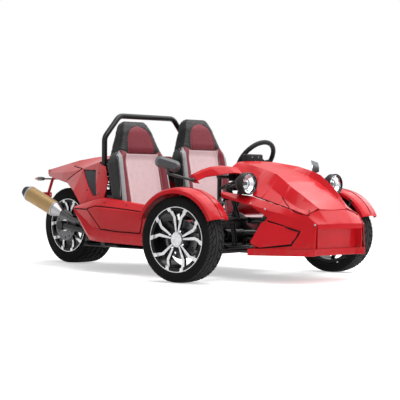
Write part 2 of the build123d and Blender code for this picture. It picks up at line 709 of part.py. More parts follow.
# Dash panel: a bent sheet from the dash hoop up to the cowl's rear edge
dash_face_x = dash_x + post_radius + seat_gap
dash_bend = ((0, 612), (0, 662), (92, 694), (92, 722), (98, 722), (98, 690), (6, 657), (6, 612))
with BuildPart() as dash_panel:
    with BuildSketch(Plane.XZ):
        with BuildLine():
            Polyline(*[(dash_face_x + dx, z) for dx, z in dash_bend], close=True)
        make_face()
    extrude(amount=160, both=True)
keep(dash_panel.part, "dash_panel")

# Shoulder wings: arched leaves that leave the cowl's edge and reach out over the wheels to a turned-down tip
# columns: half width, then x from the front axle and height of the rear edge, the crown and the front edge
wing_stations = (
    (225, -42, 700, 20, 695, 92, 652),
    (330, -65, 708, -10, 701, 55, 663),
    (400, -90, 699, -55, 691, -9, 649),
    (450, -115, 680, -92, 673, -65, 637),
    (500, -150, 650, -128, 641, -100, 612),
)
wing_tip = ((-150, 650), (-98, 612), (-82, 594), (-128, 598), (-171, 622))
wing_tip_y = wing_stations[-1][0] - panel_wall / 2
wing_root = [(front_axle_x + row[0], row[1] + seat_gap) for row in cowl_stations[:3]]
with BuildPart() as shoulder_wings:
    for _, side in SIDES:
        with BuildPart() as wing:
            for half_width, *row in wing_stations:
                line = [(front_axle_x + dx, z) for dx, z in pairs(row)]
                with BuildSketch(Plane.XZ.offset(-side * half_width)):
                    with BuildLine():
                        Polyline(*line, *moved_in(line, panel_wall)[::-1], close=True)
                    make_face()
            loft(ruled=True)
            with BuildSketch(Plane.XZ.offset(-side * wing_tip_y)):
                with BuildLine():
                    Polyline(*[(front_axle_x + dx, z) for dx, z in wing_tip], close=True)
                make_face()
            extrude(amount=panel_wall / 2, both=True)
            with BuildSketch(Plane.XY):
                with BuildLine():
                    Polyline((wing_root[0][0] - 60, 0), (wing_root[0][0] - 60, side * wing_root[0][1]),
                             *[(x, side * y) for x, y in wing_root], (wing_root[-1][0], 0), close=True)
                make_face()
            extrude(amount=hoop_top_z, mode=Mode.SUBTRACT)
        add(wing.part)
keep(shoulder_wings.part, "shoulder_wings")

# Mirrors on stalks from the wing tips, with their glass facing back and in
mirror_centre = (front_axle_x - 178, 676, 712)
mirror_size = (160, 72)
mirror_corner = 34
mirror_depth = 46
mirror_rim = 5
stalk_foot = (front_axle_x - 130, wing_tip_y + panel_wall / 2 + seat_gap, 616)
with BuildPart() as mirror_shells:
    for _, side in SIDES:
        outward = Vector(-0.67, side * 0.67, 0.3)
        forward = Vector(1, side, 0).normalized()
        centre = Vector(mirror_centre[0], side * mirror_centre[1], mirror_centre[2])
        with BuildSketch(Plane(origin=centre, x_dir=outward, z_dir=forward)):
            RectangleRounded(*mirror_size, mirror_corner)
        extrude(amount=mirror_depth, taper=20)
        foot = (stalk_foot[0], side * stalk_foot[1], stalk_foot[2])
        knee = (stalk_foot[0], side * (stalk_foot[1] + 18), stalk_foot[2])
        rod(foot, knee, 12)
        under = centre + forward * 22 - Vector(0, 0, mirror_size[1] * 0.8)
        rod(knee, tuple(under), 8)
        rod(tuple(under), tuple(centre + forward * 22), 8)
        with Locations(under):
            Sphere(8)
keep(mirror_shells.part, "mirror_shells")
with BuildPart() as mirror_glasses:
    for _, side in SIDES:
        outward = Vector(-0.67, side * 0.67, 0.3)
        backward = Vector(-1, -side, 0).normalized()
        centre = Vector(mirror_centre[0], side * mirror_centre[1], mirror_centre[2])
        with BuildSketch(Plane(origin=centre + backward * seat_gap, x_dir=outward, z_dir=backward)):
            RectangleRounded(*[size - 2 * mirror_rim for size in mirror_size], mirror_corner - mirror_rim)
        extrude(amount=3)
keep(mirror_glasses.part, "mirror_glasses")

# Headlamps: a cup on an arm from the shock tower, a reflector dish and a domed lens
mouth_radius = lamp_radius - lamp_wall - seat_gap
lamp_x, lamp_y, lamp_z = lamp_centre
dish_depth = 50
lens_seat = 14
lamp_profiles = (
    ("headlamp_shells", [(0, -lamp_depth), (lamp_radius * 0.6, -lamp_depth * 0.9),
                         (lamp_radius, -lamp_depth * 0.45), (lamp_radius, 0), (lamp_radius - lamp_wall, 0),
                         (lamp_radius - lamp_wall, -lamp_depth * 0.42), (lamp_radius * 0.55, -lamp_depth * 0.8),
                         (0, -lamp_depth * 0.86)]),
    ("headlamp_reflectors", [(0, -dish_depth - 4), (mouth_radius * 0.6, -dish_depth * 0.7 - 4),
                             (mouth_radius, -lens_seat - seat_gap - 6), (mouth_radius, -lens_seat - seat_gap),
                             (mouth_radius * 0.6, -dish_depth * 0.7), (0, -dish_depth)]),
    ("headlamp_lenses", [(0, -lens_seat), (mouth_radius, -lens_seat), (mouth_radius, -lens_seat + 6),
                         (mouth_radius * 0.6, -lens_seat + 12), (0, -lens_seat + 14)]),
)
for name, profile in lamp_profiles:
    with BuildPart() as lamp:
        for _, side in SIDES:
            centre = (lamp_x, side * lamp_y, lamp_z)
            with BuildSketch(Plane(origin=centre, x_dir=(0, 0, 1), z_dir=(0, 1, 0))):
                with BuildLine():
                    Polyline(*profile, close=True)
                make_face()
            revolve(axis=Axis(centre, (1, 0, 0)))
            if name == "headlamp_shells":
                tower = (front_axle_x, side * tower_y, tower_z)
                lamp_back = (lamp_x - lamp_depth * 0.95, side * lamp_y, lamp_z)
                rod(along(tower, lamp_back, tower_knob_radius + seat_gap), lamp_back, 10)
    keep(lamp.part, name)

# Rear body: one folded shell over engine and rear wheel, split at its seams into deck, quarter panels and tail
# columns: x from the rear axle, then half width and height of lower edge, shoulder and ridge
shell_stations = (
    (910, 526, 490, 460, 757, 270, 790),
    (700, 515, 458, 400, 735, 250, 787),
    (630, 508, 446, 382, 725, 243, 784),
    (460, 432, 535, 336, 698, 225, 775),
    (225, 300, 592, 270, 672, 190, 755),
    (70, 232, 607, 215, 668, 150, 737),
    (-320, 46, 643, 45, 670, 30, 695),
)
shell_sections = [(rear_axle_x + dx, across(pairs(row))) for dx, *row in shell_stations]
tail_end_x = shell_sections[-1][0]
tail_end_z = shell_stations[-1][6]
# Outlines seen from the side: x from the rear axle, height
vent_corners = ((455, 688), (688, 682), (805, 506), (757, 506))
front_cut = ((714, 900), (714, 724), (815, 704), (905, 603), (893, 430), (1000, 430), (1000, 900))
tail_seam = ((436, 694), (70, 737), (70, 900), (-500, 900), (-500, 400), (222, 400), (222, 592))
deck_seam = [(row[0], row[5]) for row in shell_stations if row[0] >= tail_seam[1][0]]


def shell_at(x):
    """The shell's row of half widths and heights at an x, between its two nearest stations."""
    dx = x - rear_axle_x
    for front, rear in zip(shell_stations, shell_stations[1:]):
        if rear[0] <= dx <= front[0]:
            return between(front, rear, (front[0] - dx) / (front[0] - rear[0]))
    return shell_stations[-1]


def side_prism(corners, grow=0):
    """A prism right across the vehicle, from an outline seen from its side."""
    with BuildPart() as prism:
        with BuildSketch(Plane.XZ):
            with BuildLine():
                Polyline(*[(rear_axle_x + dx, z) for dx, z in corners], close=True)
            make_face()
            if grow:
                offset(amount=grow, kind=Kind.INTERSECTION)
        extrude(amount=track / 2, both=True)
    return prism.part


def deck_prism(shrink=0):
    """An upright prism over the deck, between the ridges."""
    left = [(rear_axle_x + dx, y - shrink) for dx, y in deck_seam]
    with BuildPart() as prism:
        with BuildSketch(Plane.XY):
            with BuildLine():
                Polyline(*left, *[(x, -y) for x, y in left[::-1]], close=True)
            make_face()
        extrude(amount=hoop_top_z)
    return prism.part


rear_shell = sheet(shell_sections, panel_wall)
with BuildPart() as tail:
    add(rear_shell)
    add(side_prism(tail_seam), mode=Mode.INTERSECT)
keep(tail.part, "tail")
with BuildPart() as rear_deck:
    add(rear_shell)
    add(deck_prism(panel_gap), mode=Mode.INTERSECT)
    add(side_prism(tail_seam, panel_gap), mode=Mode.SUBTRACT)
    add(side_prism(front_cut), mode=Mode.SUBTRACT)
keep(rear_deck.part, "rear_deck")
with BuildPart() as rear_quarters:
    add(rear_shell)
    add(deck_prism(), mode=Mode.SUBTRACT)
    add(side_prism(tail_seam, panel_gap), mode=Mode.SUBTRACT)
    add(side_prism(front_cut), mode=Mode.SUBTRACT)
    add(side_prism(vent_corners), mode=Mode.SUBTRACT)
keep(rear_quarters.part, "rear_quarters")
with BuildPart() as vent_meshes:
    add(sheet([(x, moved_in(points, panel_wall + seat_gap)) for x, points in shell_sections], panel_wall / 2))
    add(side_prism(vent_corners, 10), mode=Mode.INTERSECT)
keep(vent_meshes.part, "vent_meshes")

# Rear frame: risers behind the engine, a cross tube under the deck and two tubes back under the tail
swing_y = rear_tyre_width / 2 + 50
swing_radius = 20
riser_x = rail_rear_x + 18
riser_radius = 14
riser_y = swing_y + swing_radius + riser_radius + 2
deck_bar_z = shell_at(riser_x)[6] - panel_wall - riser_radius - 2 * seat_gap
deck_bar_half = shell_at(riser_x)[5] - 4
tail_post_x = tail_end_x + 170
tail_under_z = shell_at(tail_post_x)[6] - panel_wall - 3
tail_tube_y = 60
tail_tube_z = 655
with BuildPart() as rear_frame:
    for _, side in SIDES:
        rod((riser_x, side * riser_y, rail_z + rail_radius + seat_gap),
            (riser_x, side * riser_y, deck_bar_z - riser_radius - seat_gap), riser_radius)
        rod((riser_x - riser_radius - seat_gap, side * tail_tube_y, tail_tube_z),
            (tail_post_x + riser_radius, side * tail_tube_y, tail_tube_z), riser_radius)
    rod((riser_x, -deck_bar_half, deck_bar_z), (riser_x, deck_bar_half, deck_bar_z), riser_radius)
    cross_half = riser_y - riser_radius - seat_gap
    rod((riser_x, -cross_half, tail_tube_z), (riser_x, cross_half, tail_tube_z), riser_radius)
    tail_bar_y = tail_tube_y - riser_radius - seat_gap
    rod((tail_post_x, -tail_bar_y, tail_tube_z), (tail_post_x, tail_bar_y, tail_tube_z), riser_radius)
    rod((tail_post_x, 0, tail_tube_z + riser_radius + seat_gap), (tail_post_x, 0, tail_under_z), riser_radius)
keep(rear_frame.part, "rear_frame")

# Engine: one plain block on the cross tubes
engine_size = (330, 330, 340)
engine_gap = 50
with BuildPart() as engine_block:
    with BuildSketch(Plane.XY.offset(rail_z + cross_radius + seat_gap)):
        with Locations((rail_rear_x + engine_gap + engine_size[0] / 2, 0)):
            Rectangle(engine_size[0], engine_size[1])
    extrude(amount=engine_size[2])
    chamfer(engine_block.edges().filter_by(Axis.X), length=40)
keep(engine_block.part, "engine_block")

# Swinging arm with the rear axle and the brake caliper, and the shock that stands on its bridge
rear_centre = (rear_axle_x, 0, rear_tyre_radius)
swing_pivot_z = 236
swing_pivot_y = riser_y - riser_radius - seat_gap
swing_pivot_radius = 22
boss_half = 24
with BuildPart() as swingarm:
    for _, side in SIDES:
        rod((riser_x, side * swing_y, swing_pivot_z), (rear_axle_x, side * swing_y, rear_tyre_radius),
            swing_radius)
        rod((rear_axle_x, side * (swing_y - boss_half), rear_tyre_radius),
            (rear_axle_x, side * (swing_y + boss_half), rear_tyre_radius), 34)
    rod((riser_x, -swing_pivot_y, swing_pivot_z), (riser_x, swing_pivot_y, swing_pivot_z), swing_pivot_radius)
    rod((rear_axle_x, -swing_y, rear_tyre_radius), (rear_axle_x, swing_y, rear_tyre_radius), rear_axle_radius)
keep(swingarm.part, "swingarm")
with BuildPart() as rear_shock:
    shock_foot = (riser_x, 0, swing_pivot_z + swing_pivot_radius + seat_gap)
    shock_top = (riser_x, 0, tail_tube_z - riser_radius - seat_gap)
    rod(shock_foot, shock_top, 15)
    rod((riser_x, 0, shock_foot[2] + 60), (riser_x, 0, shock_top[2] - 50), 30)
keep(rear_shock.part, "rear_shock")

# Rear wheel: tyre, rim with a hub right through, brake disc on the right and sprocket on the left
hub_reach = swing_y - boss_half - running_gap
keep(tyre(rear_centre, rear_tyre_radius, rear_tyre_width, rear_bead_inset, -1), "rear_tyre")
rear_rim = rim(rear_centre, rear_tyre_width, rear_bead_inset, -1, rear_axle_radius + shaft_clearance, hub_reach)
keep(rear_rim, "rear_rim")
hub_neck = hub_radius * hub_neck_share + seat_gap
plate_offset = hub_reach - disc_thickness - 4
keep(drilled_disc(rear_centre, -1, plate_offset, rear_disc_radius, hub_neck, 12, 7), "rear_disc")
keep(drilled_disc(rear_centre, 1, plate_offset, sprocket_radius, hub_neck, 6, 10), "sprocket")

# Exhaust: a pipe from the engine's right side into a can that points up and back
can_radius = 55
can_start = (rear_axle_x + 274, -385, 379)
can_end = (rear_axle_x - 65, -455, 533)
cone_length = 62
cap_length = 46
can_run = (Vector(*can_end) - Vector(*can_start)).length
pipe_radius = 20
pipe_start = (rear_axle_x + 500, -engine_size[1] / 2 - seat_gap, 320)
with BuildPart() as exhaust_pipe:
    with BuildLine() as pipe_path:
        FilletPolyline(pipe_start, (pipe_start[0], -260, 320), along(can_start, can_end, -120),
                       along(can_start, can_end, -seat_gap), radius=45)
    with BuildSketch(Plane(origin=pipe_path.line @ 0, z_dir=pipe_path.line % 0)):
        Circle(pipe_radius)
    sweep()
keep(exhaust_pipe.part, "exhaust_pipe")
can_direction = Vector(*can_end) - Vector(*can_start)
can_profile_plane = Plane(origin=can_start, x_dir=can_direction.cross(Vector(0, 0, 1)), z_dir=can_direction)
can_side_plane = Plane(origin=can_start, x_dir=can_profile_plane.x_dir, z_dir=-can_profile_plane.y_dir)
can_pieces = (
    ("exhaust_cone", [(0, 0), (pipe_radius + 4, 0), (can_radius - 2, cone_length), (0, cone_length)]),
    ("exhaust_can", [(0, cone_length + seat_gap), (can_radius, cone_length + seat_gap),
                     (can_radius, can_run - cap_length), (0, can_run - cap_length)]),
    ("exhaust_cap", [(18, can_run - cap_length + seat_gap), (can_radius - 1, can_run - cap_length + seat_gap),
                     (can_radius * 0.62, can_run), (18, can_run)]),
)
for name, profile in can_pieces:
    with BuildPart() as piece:
        with BuildSketch(can_side_plane):
            with BuildLine():
                Polyline(*profile, close=True)
            make_face()
        revolve(axis=Axis(can_start, can_direction))
    keep(piece.part, name)

# Seats: a cushion on the rails and a reclined back that thins to a narrower head, the driver's set higher
cushion_z = rail_z + rail_radius + seat_gap
cushion_front_x = dash_x - knee_gap
cushion_front_z = 345
back_foot_z = 318
# The back's outline from its middle, and its side seen along the seat: across or forward, up
back_half_line = ((seat_half, 0), (seat_half, 480), (142, 640), (118, 725))
back_side_line = ((0, 0), (0, 640), (-20, 725), (-78, 725), (-back_thickness, 560), (-back_thickness, 0))
lean = math.radians(seat_recline)
facing = (math.cos(lean), 0, math.sin(lean))
heel_x = seat_back_x - back_thickness * math.cos(lean)
for side_name, side in SIDES:
    lift = driver_lift if side > 0 else 0
    foot_z = back_foot_z + lift
    heel_z = foot_z - back_thickness * math.sin(lean)
    with BuildPart() as seat_base:
        with BuildSketch(Plane.XZ.offset(-side * seat_y)):
            with BuildLine():
                Polyline((heel_x, cushion_z), (cushion_front_x - 30, cushion_z),
                         (cushion_front_x, cushion_front_z + lift), (seat_back_x, foot_z - 2 * seat_gap),
                         (heel_x, heel_z - 2 * seat_gap), close=True)
            make_face()
        extrude(amount=seat_half - 12, both=True)
    keep(seat_base.part, f"seat_base_{side_name}")
    back_foot = (seat_back_x, side * seat_y, foot_z)
    with BuildPart() as seat_back:
        with BuildSketch(Plane(origin=back_foot, x_dir=(0, 1, 0), z_dir=facing)):
            with BuildLine():
                Polyline(*back_half_line, *[(-y, z) for y, z in back_half_line[::-1]], close=True)
            make_face()
        extrude(amount=-back_thickness)
        with BuildSketch(Plane(origin=back_foot, x_dir=facing, z_dir=(0, -1, 0))):
            with BuildLine():
                Polyline(*back_side_line, close=True)
            make_face()
        extrude(amount=seat_half, both=True, mode=Mode.INTERSECT)
    keep(seat_back.part, f"seat_back_{side_name}")

# Steering wheel on a shaft that turns in the column
slope = math.radians(column_slope)
toward_driver = Vector(-math.cos(slope), 0, math.sin(slope))
wheel_plane = Plane(origin=steering_wheel_centre, x_dir=(0, 1, 0), z_dir=toward_driver)
column_top = Vector(*steering_wheel_centre) - toward_driver * 60
column_foot = Vector(*steering_wheel_centre) - toward_driver * 330
hub_centre = tuple(Vector(*steering_wheel_centre) - toward_driver * steering_dish)
with BuildPart() as steering_wheel:
    rod(tuple(Vector(*hub_centre) + toward_driver * 12), tuple(Vector(*hub_centre) - toward_driver * 14), 42)
    rod(hub_centre, tuple(column_foot + toward_driver * 20), steering_shaft_radius)
    for angle in (180, 0, 90):
        rim_point = Vector(steering_wheel_radius, 0, 0).rotate(Axis.Z, angle)
        rod(hub_centre, tuple(wheel_plane.from_local_coords(rim_point)), 10)
    with BuildSketch(Plane(origin=steering_wheel_centre, x_dir=(0, 1, 0), z_dir=-wheel_plane.y_dir)):
        with Locations((steering_wheel_radius, 0)):
            Circle(steering_rim_radius)
    revolve(axis=Axis(steering_wheel_centre, toward_driver))
keep(steering_wheel.part, "steering_wheel")
shroud_size = (112, 58)
shroud_length = 74
with BuildPart() as steering_column:
    rod(tuple(column_top), tuple(column_foot), column_radius)
    with BuildSketch(Plane(origin=column_top, x_dir=(0, 1, 0), z_dir=-toward_driver)):
        RectangleRounded(*shroud_size, 14)
    extrude(amount=shroud_length)
    rod(tuple(column_top + toward_driver), tuple(column_foot - toward_driver),
        steering_shaft_radius + shaft_clearance, mode=Mode.SUBTRACT)
keep(steering_column.part, "steering_column")

# Tail lamp on the tail's end, and a small flange for the number plate on a bent arm below
plate_x = rear_axle_x - tail_overhang
plate_size = (84, 40)
plate_z = 500
plate_hole_spacing = 60
plate_hole_radius = 3.5
plate_arm_radius = 11
arm_elbow = (tail_end_x - 12, 0, 622)
tail_lamp_size = (76, 42)
with BuildPart() as tail_lamp:
    with BuildSketch(Plane.YZ.offset(tail_end_x - seat_gap)):
        with Locations((0, tail_end_z - tail_lamp_size[1] / 2)):
            RectangleRounded(*tail_lamp_size, 10)
    extrude(amount=-18)
keep(tail_lamp.part, "tail_lamp")
with BuildPart() as plate_holder:
    with BuildSketch(Plane.YZ.offset(plate_x)):
        with Locations((0, plate_z)):
            RectangleRounded(*plate_size, 8)
            with GridLocations(plate_hole_spacing, 1, 2, 1):
                Circle(plate_hole_radius, mode=Mode.SUBTRACT)
    extrude(amount=4)
    rod((plate_x + 12, 0, plate_z + 4), arm_elbow, plate_arm_radius)
    rod(arm_elbow, along((tail_post_x, 0, tail_tube_z), arm_elbow, riser_radius + seat_gap), plate_arm_radius)
    with Locations(arm_elbow):
        Sphere(plate_arm_radius)
keep(plate_holder.part, "plate_holder")

# Turn signals: a short stalk from the arm's elbow and a long pod at its end
signal_y = 116
signal_profile = ((0, 44), (12, 40), (16, 18), (16, -20), (9, -58), (0, -64))
with BuildPart() as turn_signals:
    for _, side in SIDES:
        pod_centre = (arm_elbow[0], side * signal_y, arm_elbow[2])
        rod((arm_elbow[0], side * (plate_arm_radius + seat_gap), arm_elbow[2]), pod_centre, 6)
        with BuildSketch(Plane(origin=pod_centre, x_dir=(0, 0, 1), z_dir=(0, 1, 0))):
            with BuildLine():
                Polyline(*signal_profile, close=True)
            make_face()
        revolve(axis=Axis(pod_centre, (1, 0, 0)))
keep(turn_signals.part, "turn_signals")
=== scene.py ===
# %% [markdown]
# A red three-wheeled roadster, dressed for a picture. The imported CAD model comes in first, as a fixed
# frame: every solid has its final place and size. The lesson then gives each solid a finish, softens the
# edges of the panels, and adds what is too fine for CAD: tread, coils, padded seats, seams, bolts and lamp
# internals.

# %% Load the frame
import json
import math

import bmesh
import bpy
from mathutils import Matrix, Vector
from mathutils.bvhtree import BVHTree


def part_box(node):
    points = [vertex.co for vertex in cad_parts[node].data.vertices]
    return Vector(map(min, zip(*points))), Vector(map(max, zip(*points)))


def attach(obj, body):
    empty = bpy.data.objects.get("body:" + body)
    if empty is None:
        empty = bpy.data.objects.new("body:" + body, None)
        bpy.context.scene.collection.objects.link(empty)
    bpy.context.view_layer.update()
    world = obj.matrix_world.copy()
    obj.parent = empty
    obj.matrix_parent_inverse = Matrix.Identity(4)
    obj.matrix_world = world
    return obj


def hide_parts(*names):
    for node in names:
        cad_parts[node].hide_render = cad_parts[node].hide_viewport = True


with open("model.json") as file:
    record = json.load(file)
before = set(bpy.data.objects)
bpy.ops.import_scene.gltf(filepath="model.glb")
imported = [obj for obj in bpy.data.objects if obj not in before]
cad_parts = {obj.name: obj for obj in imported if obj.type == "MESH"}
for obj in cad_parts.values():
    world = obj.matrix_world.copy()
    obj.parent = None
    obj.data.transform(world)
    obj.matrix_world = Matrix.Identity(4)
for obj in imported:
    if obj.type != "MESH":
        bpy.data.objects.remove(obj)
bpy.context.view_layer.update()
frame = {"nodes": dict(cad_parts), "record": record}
nodes = frame["nodes"]
slot_of = {part["node"]: part["material_slot"] for part in frame["record"]["subparts"]}
body_of = {node: body for body, group in frame["record"]["behaviour"]["bodies"].items() for node in group}
SIDES = (("right", -1), ("left", 1))

# %% [markdown]
# A finish is a small network of shader nodes. Written node by node it is hard to read, so two small classes
# help. A Term stands for one socket and knows sums, so that a rule such as 1 - mask * 0.5 adds its own Math
# nodes. A Finish is one material: its node method makes any node from its type, its settings and its sockets.

# %% Sockets that take part in sums
class Term:
    """One output socket of a finish's nodes."""

    def __init__(self, finish, socket):
        self.finish = finish
        self.socket = socket

    def __add__(self, other):
        return self.finish.maths("ADD", self, other)

    def __radd__(self, other):
        return self.finish.maths("ADD", other, self)

    def __sub__(self, other):
        return self.finish.maths("SUBTRACT", self, other)

    def __rsub__(self, other):
        return self.finish.maths("SUBTRACT", other, self)

    def __mul__(self, other):
        return self.finish.maths("MULTIPLY", self, other)

    def __rmul__(self, other):
        return self.finish.maths("MULTIPLY", other, self)

    def __truediv__(self, other):
        return self.finish.maths("DIVIDE", self, other)

    def __rtruediv__(self, other):
        return self.finish.maths("DIVIDE", other, self)

    def __gt__(self, other):
        return self.finish.maths("GREATER_THAN", self, other)

    def __lt__(self, other):
        return self.finish.maths("LESS_THAN", self, other)

    def __abs__(self):
        return self.finish.maths("ABSOLUTE", self)


# %% A material under construction
class Finish:
    """A material with one Principled shader. Keyword arguments give its constant sockets."""

    def __init__(self, name, **sockets):
        self.material = bpy.data.materials.new(name)
        self.material.use_nodes = True
        self.tree = self.material.node_tree
        self.shader = self.tree.nodes["Principled BSDF"]
        self.give(**sockets)

    def fill(self, node, sockets):
        for key, value in sockets.items():
            if isinstance(value, Term):
                self.tree.links.new(value.socket, node.inputs[key])
            elif isinstance(value, tuple) and node.inputs[key].type == "RGBA":
                node.inputs[key].default_value = (*value[:3], 1)
            else:
                node.inputs[key].default_value = value

    def give(self, **sockets):
        self.fill(self.shader, {key.replace("_", " "): value for key, value in sockets.items()})

    def node(self, kind, settings=None, sockets=None, output=0):
        made = self.tree.nodes.new(kind)
        for key, value in (settings or {}).items():
            setattr(made, key, value)
        self.fill(made, sockets or {})
        return Term(self, made.outputs[output])

    def maths(self, operation, first, second=0.0):
        return self.node("ShaderNodeMath", {"operation": operation}, {0: first, 1: second})

    def vector(self, operation, first, second, output=0):
        return self.node("ShaderNodeVectorMath", {"operation": operation}, {0: first, 1: second}, output)

    def place(self, output="Object"):
        return self.node("ShaderNodeTexCoord", output=output)

    def axes(self, vector):
        split = self.node("ShaderNodeSeparateXYZ", sockets={0: vector})
        return [Term(self, socket) for socket in split.socket.node.outputs]

    def noise(self, scale, detail=2.0, vector=None):
        sockets = {"Vector": vector or self.place(), "Scale": scale, "Detail": detail}
        return self.node("ShaderNodeTexNoise", sockets=sockets)

    def cells(self, scale):
        return self.node("ShaderNodeTexVoronoi", sockets={"Vector": self.place(), "Scale": scale})

    def step(self, value, low, high):
        settings = {"interpolation_type": "SMOOTHSTEP"}
        return self.node("ShaderNodeMapRange", settings, {0: value, 1: low, 2: high})

    def mix(self, share, first, second):
        return self.node("ShaderNodeMix", {"data_type": "RGBA"}, {0: share, 6: first, 7: second}, 2)

    def bump(self, height, strength, distance, under=None):
        sockets = {"Height": height, "Strength": strength, "Distance": distance}
        if under:
            sockets["Normal"] = under
        return self.node("ShaderNodeBump", sockets=sockets)


print("helpers ready")

# %% [markdown]
# Red paint. The panels are moulded plastic with a solid red coat under clear lacquer. The lacquer is the
# shader's coat, with a hint of orange peel in its normal. Slow noise shifts the red a little, as hand-
# sprayed panels do, and a film of road dust dulls the parts near the ground.

# %% Red paint
red = Finish("red_paint", Coat_Weight=0.3, Coat_Roughness=0.10, Coat_IOR=1.4, Specular_IOR_Level=0.05)
height = red.axes(red.place())[2]
patches = red.step(red.noise(3.0, 3.0), 0.35, 0.65)
dust = red.step(height, 0.30, 0.15) * red.step(red.noise(26.0, 5.0), 0.40, 0.75)
lacquer_red = red.mix(patches, (0.50, 0.007, 0.012), (0.58, 0.010, 0.018))
red.give(Base_Color=red.mix(dust * 0.22, lacquer_red, (0.22, 0.13, 0.10)), Roughness=0.30 + dust * 0.3)
red.give(Normal=red.bump(red.noise(240.0, 1.0), 0.03, 0.001))
print("red paint")

# %% [markdown]
# Black coats. Frame tubes carry a glossy enamel, small covers a matt grained plastic, and rubber is duller
# still. The three share one recipe: a near-black colour that noise lifts a little, a roughness that varies
# with it, and a bump at the scale of the real grain.

# %% Black enamel, grained plastic and rubber
def black(name, dark, pale, rough, grain, depth, shine, coat=0.0):
    """A near-black finish with a fine grain."""
    finish = Finish(name, Coat_Weight=coat, Coat_Roughness=0.08, Specular_IOR_Level=shine)
    cloud = finish.step(finish.noise(9.0, 4.0), 0.3, 0.7)
    finish.give(Base_Color=finish.mix(cloud, dark, pale), Roughness=rough + cloud * 0.12)
    finish.give(Normal=finish.bump(finish.noise(grain, 3.0), depth, 0.001))
    print(name)
    return finish


enamel = black("black_enamel", (0.008, 0.008, 0.009), (0.013, 0.013, 0.014), 0.22, 380.0, 0.05, 0.2, 0.15)
plastic = black("grained_plastic", (0.014, 0.014, 0.015), (0.022, 0.022, 0.024), 0.42, 900.0, 0.25, 0.15)
rubber = black("tyre_rubber", (0.007, 0.007, 0.007), (0.014, 0.014, 0.014), 0.70, 520.0, 0.18, 0.06)
gasket = black("black_gasket", (0.008, 0.008, 0.009), (0.012, 0.012, 0.013), 0.6, 700.0, 0.1, 0.0)

# %% [markdown]
# Cast wheels. They are painted black all over and then turned on a lathe, which leaves the front of the
# spokes and the lip as bright bare metal. What faces outward and lies in the turned planes is metal, the
# rest is paint. The bright spokes run on over the rim's flange up to the lip, and the angle round the axle
# tells where. The lathe's fine circles are a bump on the distance from the axle.

# %% Two-tone cast wheels
CAP_RADIUS, BARREL_RADIUS, LIP_RADIUS = 0.046, 0.172, 0.1915
PAIR_STEP = math.radians(36)
TIP_ANGLE, TIP_SLANT, TIP_HALF = 0.307, 2.13, 0.070


def around(finish, centre, outward):
    """The distance along a wheel's axle, the distance from it and the angle round it."""
    offset = finish.vector("SUBTRACT", finish.place(), tuple(centre))
    reach = finish.vector("DOT_PRODUCT", offset, tuple(outward), "Value")
    ahead = finish.vector("DOT_PRODUCT", offset, tuple(Vector((0, 0, 1)).cross(outward)), "Value")
    away = finish.maths("SQRT", finish.vector("DOT_PRODUCT", offset, offset, "Value") - reach * reach)
    return reach, away, finish.maths("ARCTAN2", finish.axes(offset)[2], ahead)


def cast_wheel(name, centre, outward, face):
    """Black paint with a machined face; face is how far from the centre the spokes' front lies."""
    finish = Finish(name, Coat_Roughness=0.06, Specular_IOR_Level=0.1)
    reach, radius, turn = around(finish, centre, outward)
    facing = finish.vector("DOT_PRODUCT", finish.place("Normal"), tuple(outward), "Value")
    spoke = (reach > face) * (reach < face + 0.004) + (radius < CAP_RADIUS)
    lip = (reach > face + 0.0085) * (radius > LIP_RADIUS)
    pair_turn = math.radians(15 if outward.y < 0 else 51)
    aside = finish.maths("PINGPONG", turn - pair_turn, PAIR_STEP)
    tip = abs(aside - (radius - BARREL_RADIUS) * TIP_SLANT - TIP_ANGLE) < TIP_HALF
    tip = tip * (radius > BARREL_RADIUS - 0.004) * (reach > face)
    turned = finish.step(facing, 0.86, 0.94) * (spoke + lip)
    turned = finish.maths("MINIMUM", turned + tip, 1.0)
    circles = finish.maths("SINE", radius * 5200.0)
    silver = finish.mix(finish.step(finish.noise(60.0), 0.3, 0.7), (0.50, 0.50, 0.51), (0.64, 0.64, 0.65))
    finish.give(Base_Color=finish.mix(turned, (0.007, 0.007, 0.008), silver), Metallic=turned)
    finish.give(Roughness=0.20 + turned * 0.14, Coat_Weight=0.1 - turned * 0.1)
    finish.give(Normal=finish.bump(circles * turned, 0.05, 0.0004))
    print(name)
    return finish


STEER = math.radians(9)
FRONT_FACE, REAR_FACE = 0.0565, 0.102
AXLE = Vector((-math.sin(STEER), math.cos(STEER), 0))
spins = {joint["name"]: Vector(joint["pos_m"]) for joint in frame["record"]["behaviour"]["joints"]}
wheel_finish = {}
for name, side in SIDES:
    wheel_finish[f"front_rim_{name}"] = cast_wheel(f"cast_wheel_{name}", spins[f"wheel_{name}_spin"],
                                                   AXLE * side, FRONT_FACE)
wheel_finish["rear_rim"] = cast_wheel("cast_wheel_rear", spins["rear_wheel_spin"], Vector((0, -1, 0)),
                                      REAR_FACE)

# %% [markdown]
# Tyre rubber. A tread that has been driven is worn grey where it meets the road, while its grooves and the
# side walls stay black. How far a point lies from the axle tells the tread's top from the floor of a groove.

# %% Worn tread
CROWN, SHOULDER_INSET = 0.0045, 0.013


def tyre_rubber(name, centre, outward, radius, half):
    """Rubber for a tyre of this radius and half width."""
    finish = Finish(name, Specular_IOR_Level=0.06)
    reach, away, _ = around(finish, centre, outward)
    height = away + reach * reach * (CROWN / (half - SHOULDER_INSET) ** 2)
    wear_and_crease_shade = finish.step(height, radius - 0.0030, radius - 0.0006)
    cloud = finish.step(finish.noise(9.0, 4.0), 0.3, 0.7)
    grey = finish.mix(cloud, (0.030, 0.031, 0.031), (0.045, 0.046, 0.046))
    finish.give(Base_Color=finish.mix(wear_and_crease_shade, (0.010, 0.010, 0.010), grey), Roughness=0.70 + cloud * 0.12)
    finish.give(Normal=finish.bump(finish.noise(520.0, 3.0), 0.18, 0.001))
    print(name)
    return finish


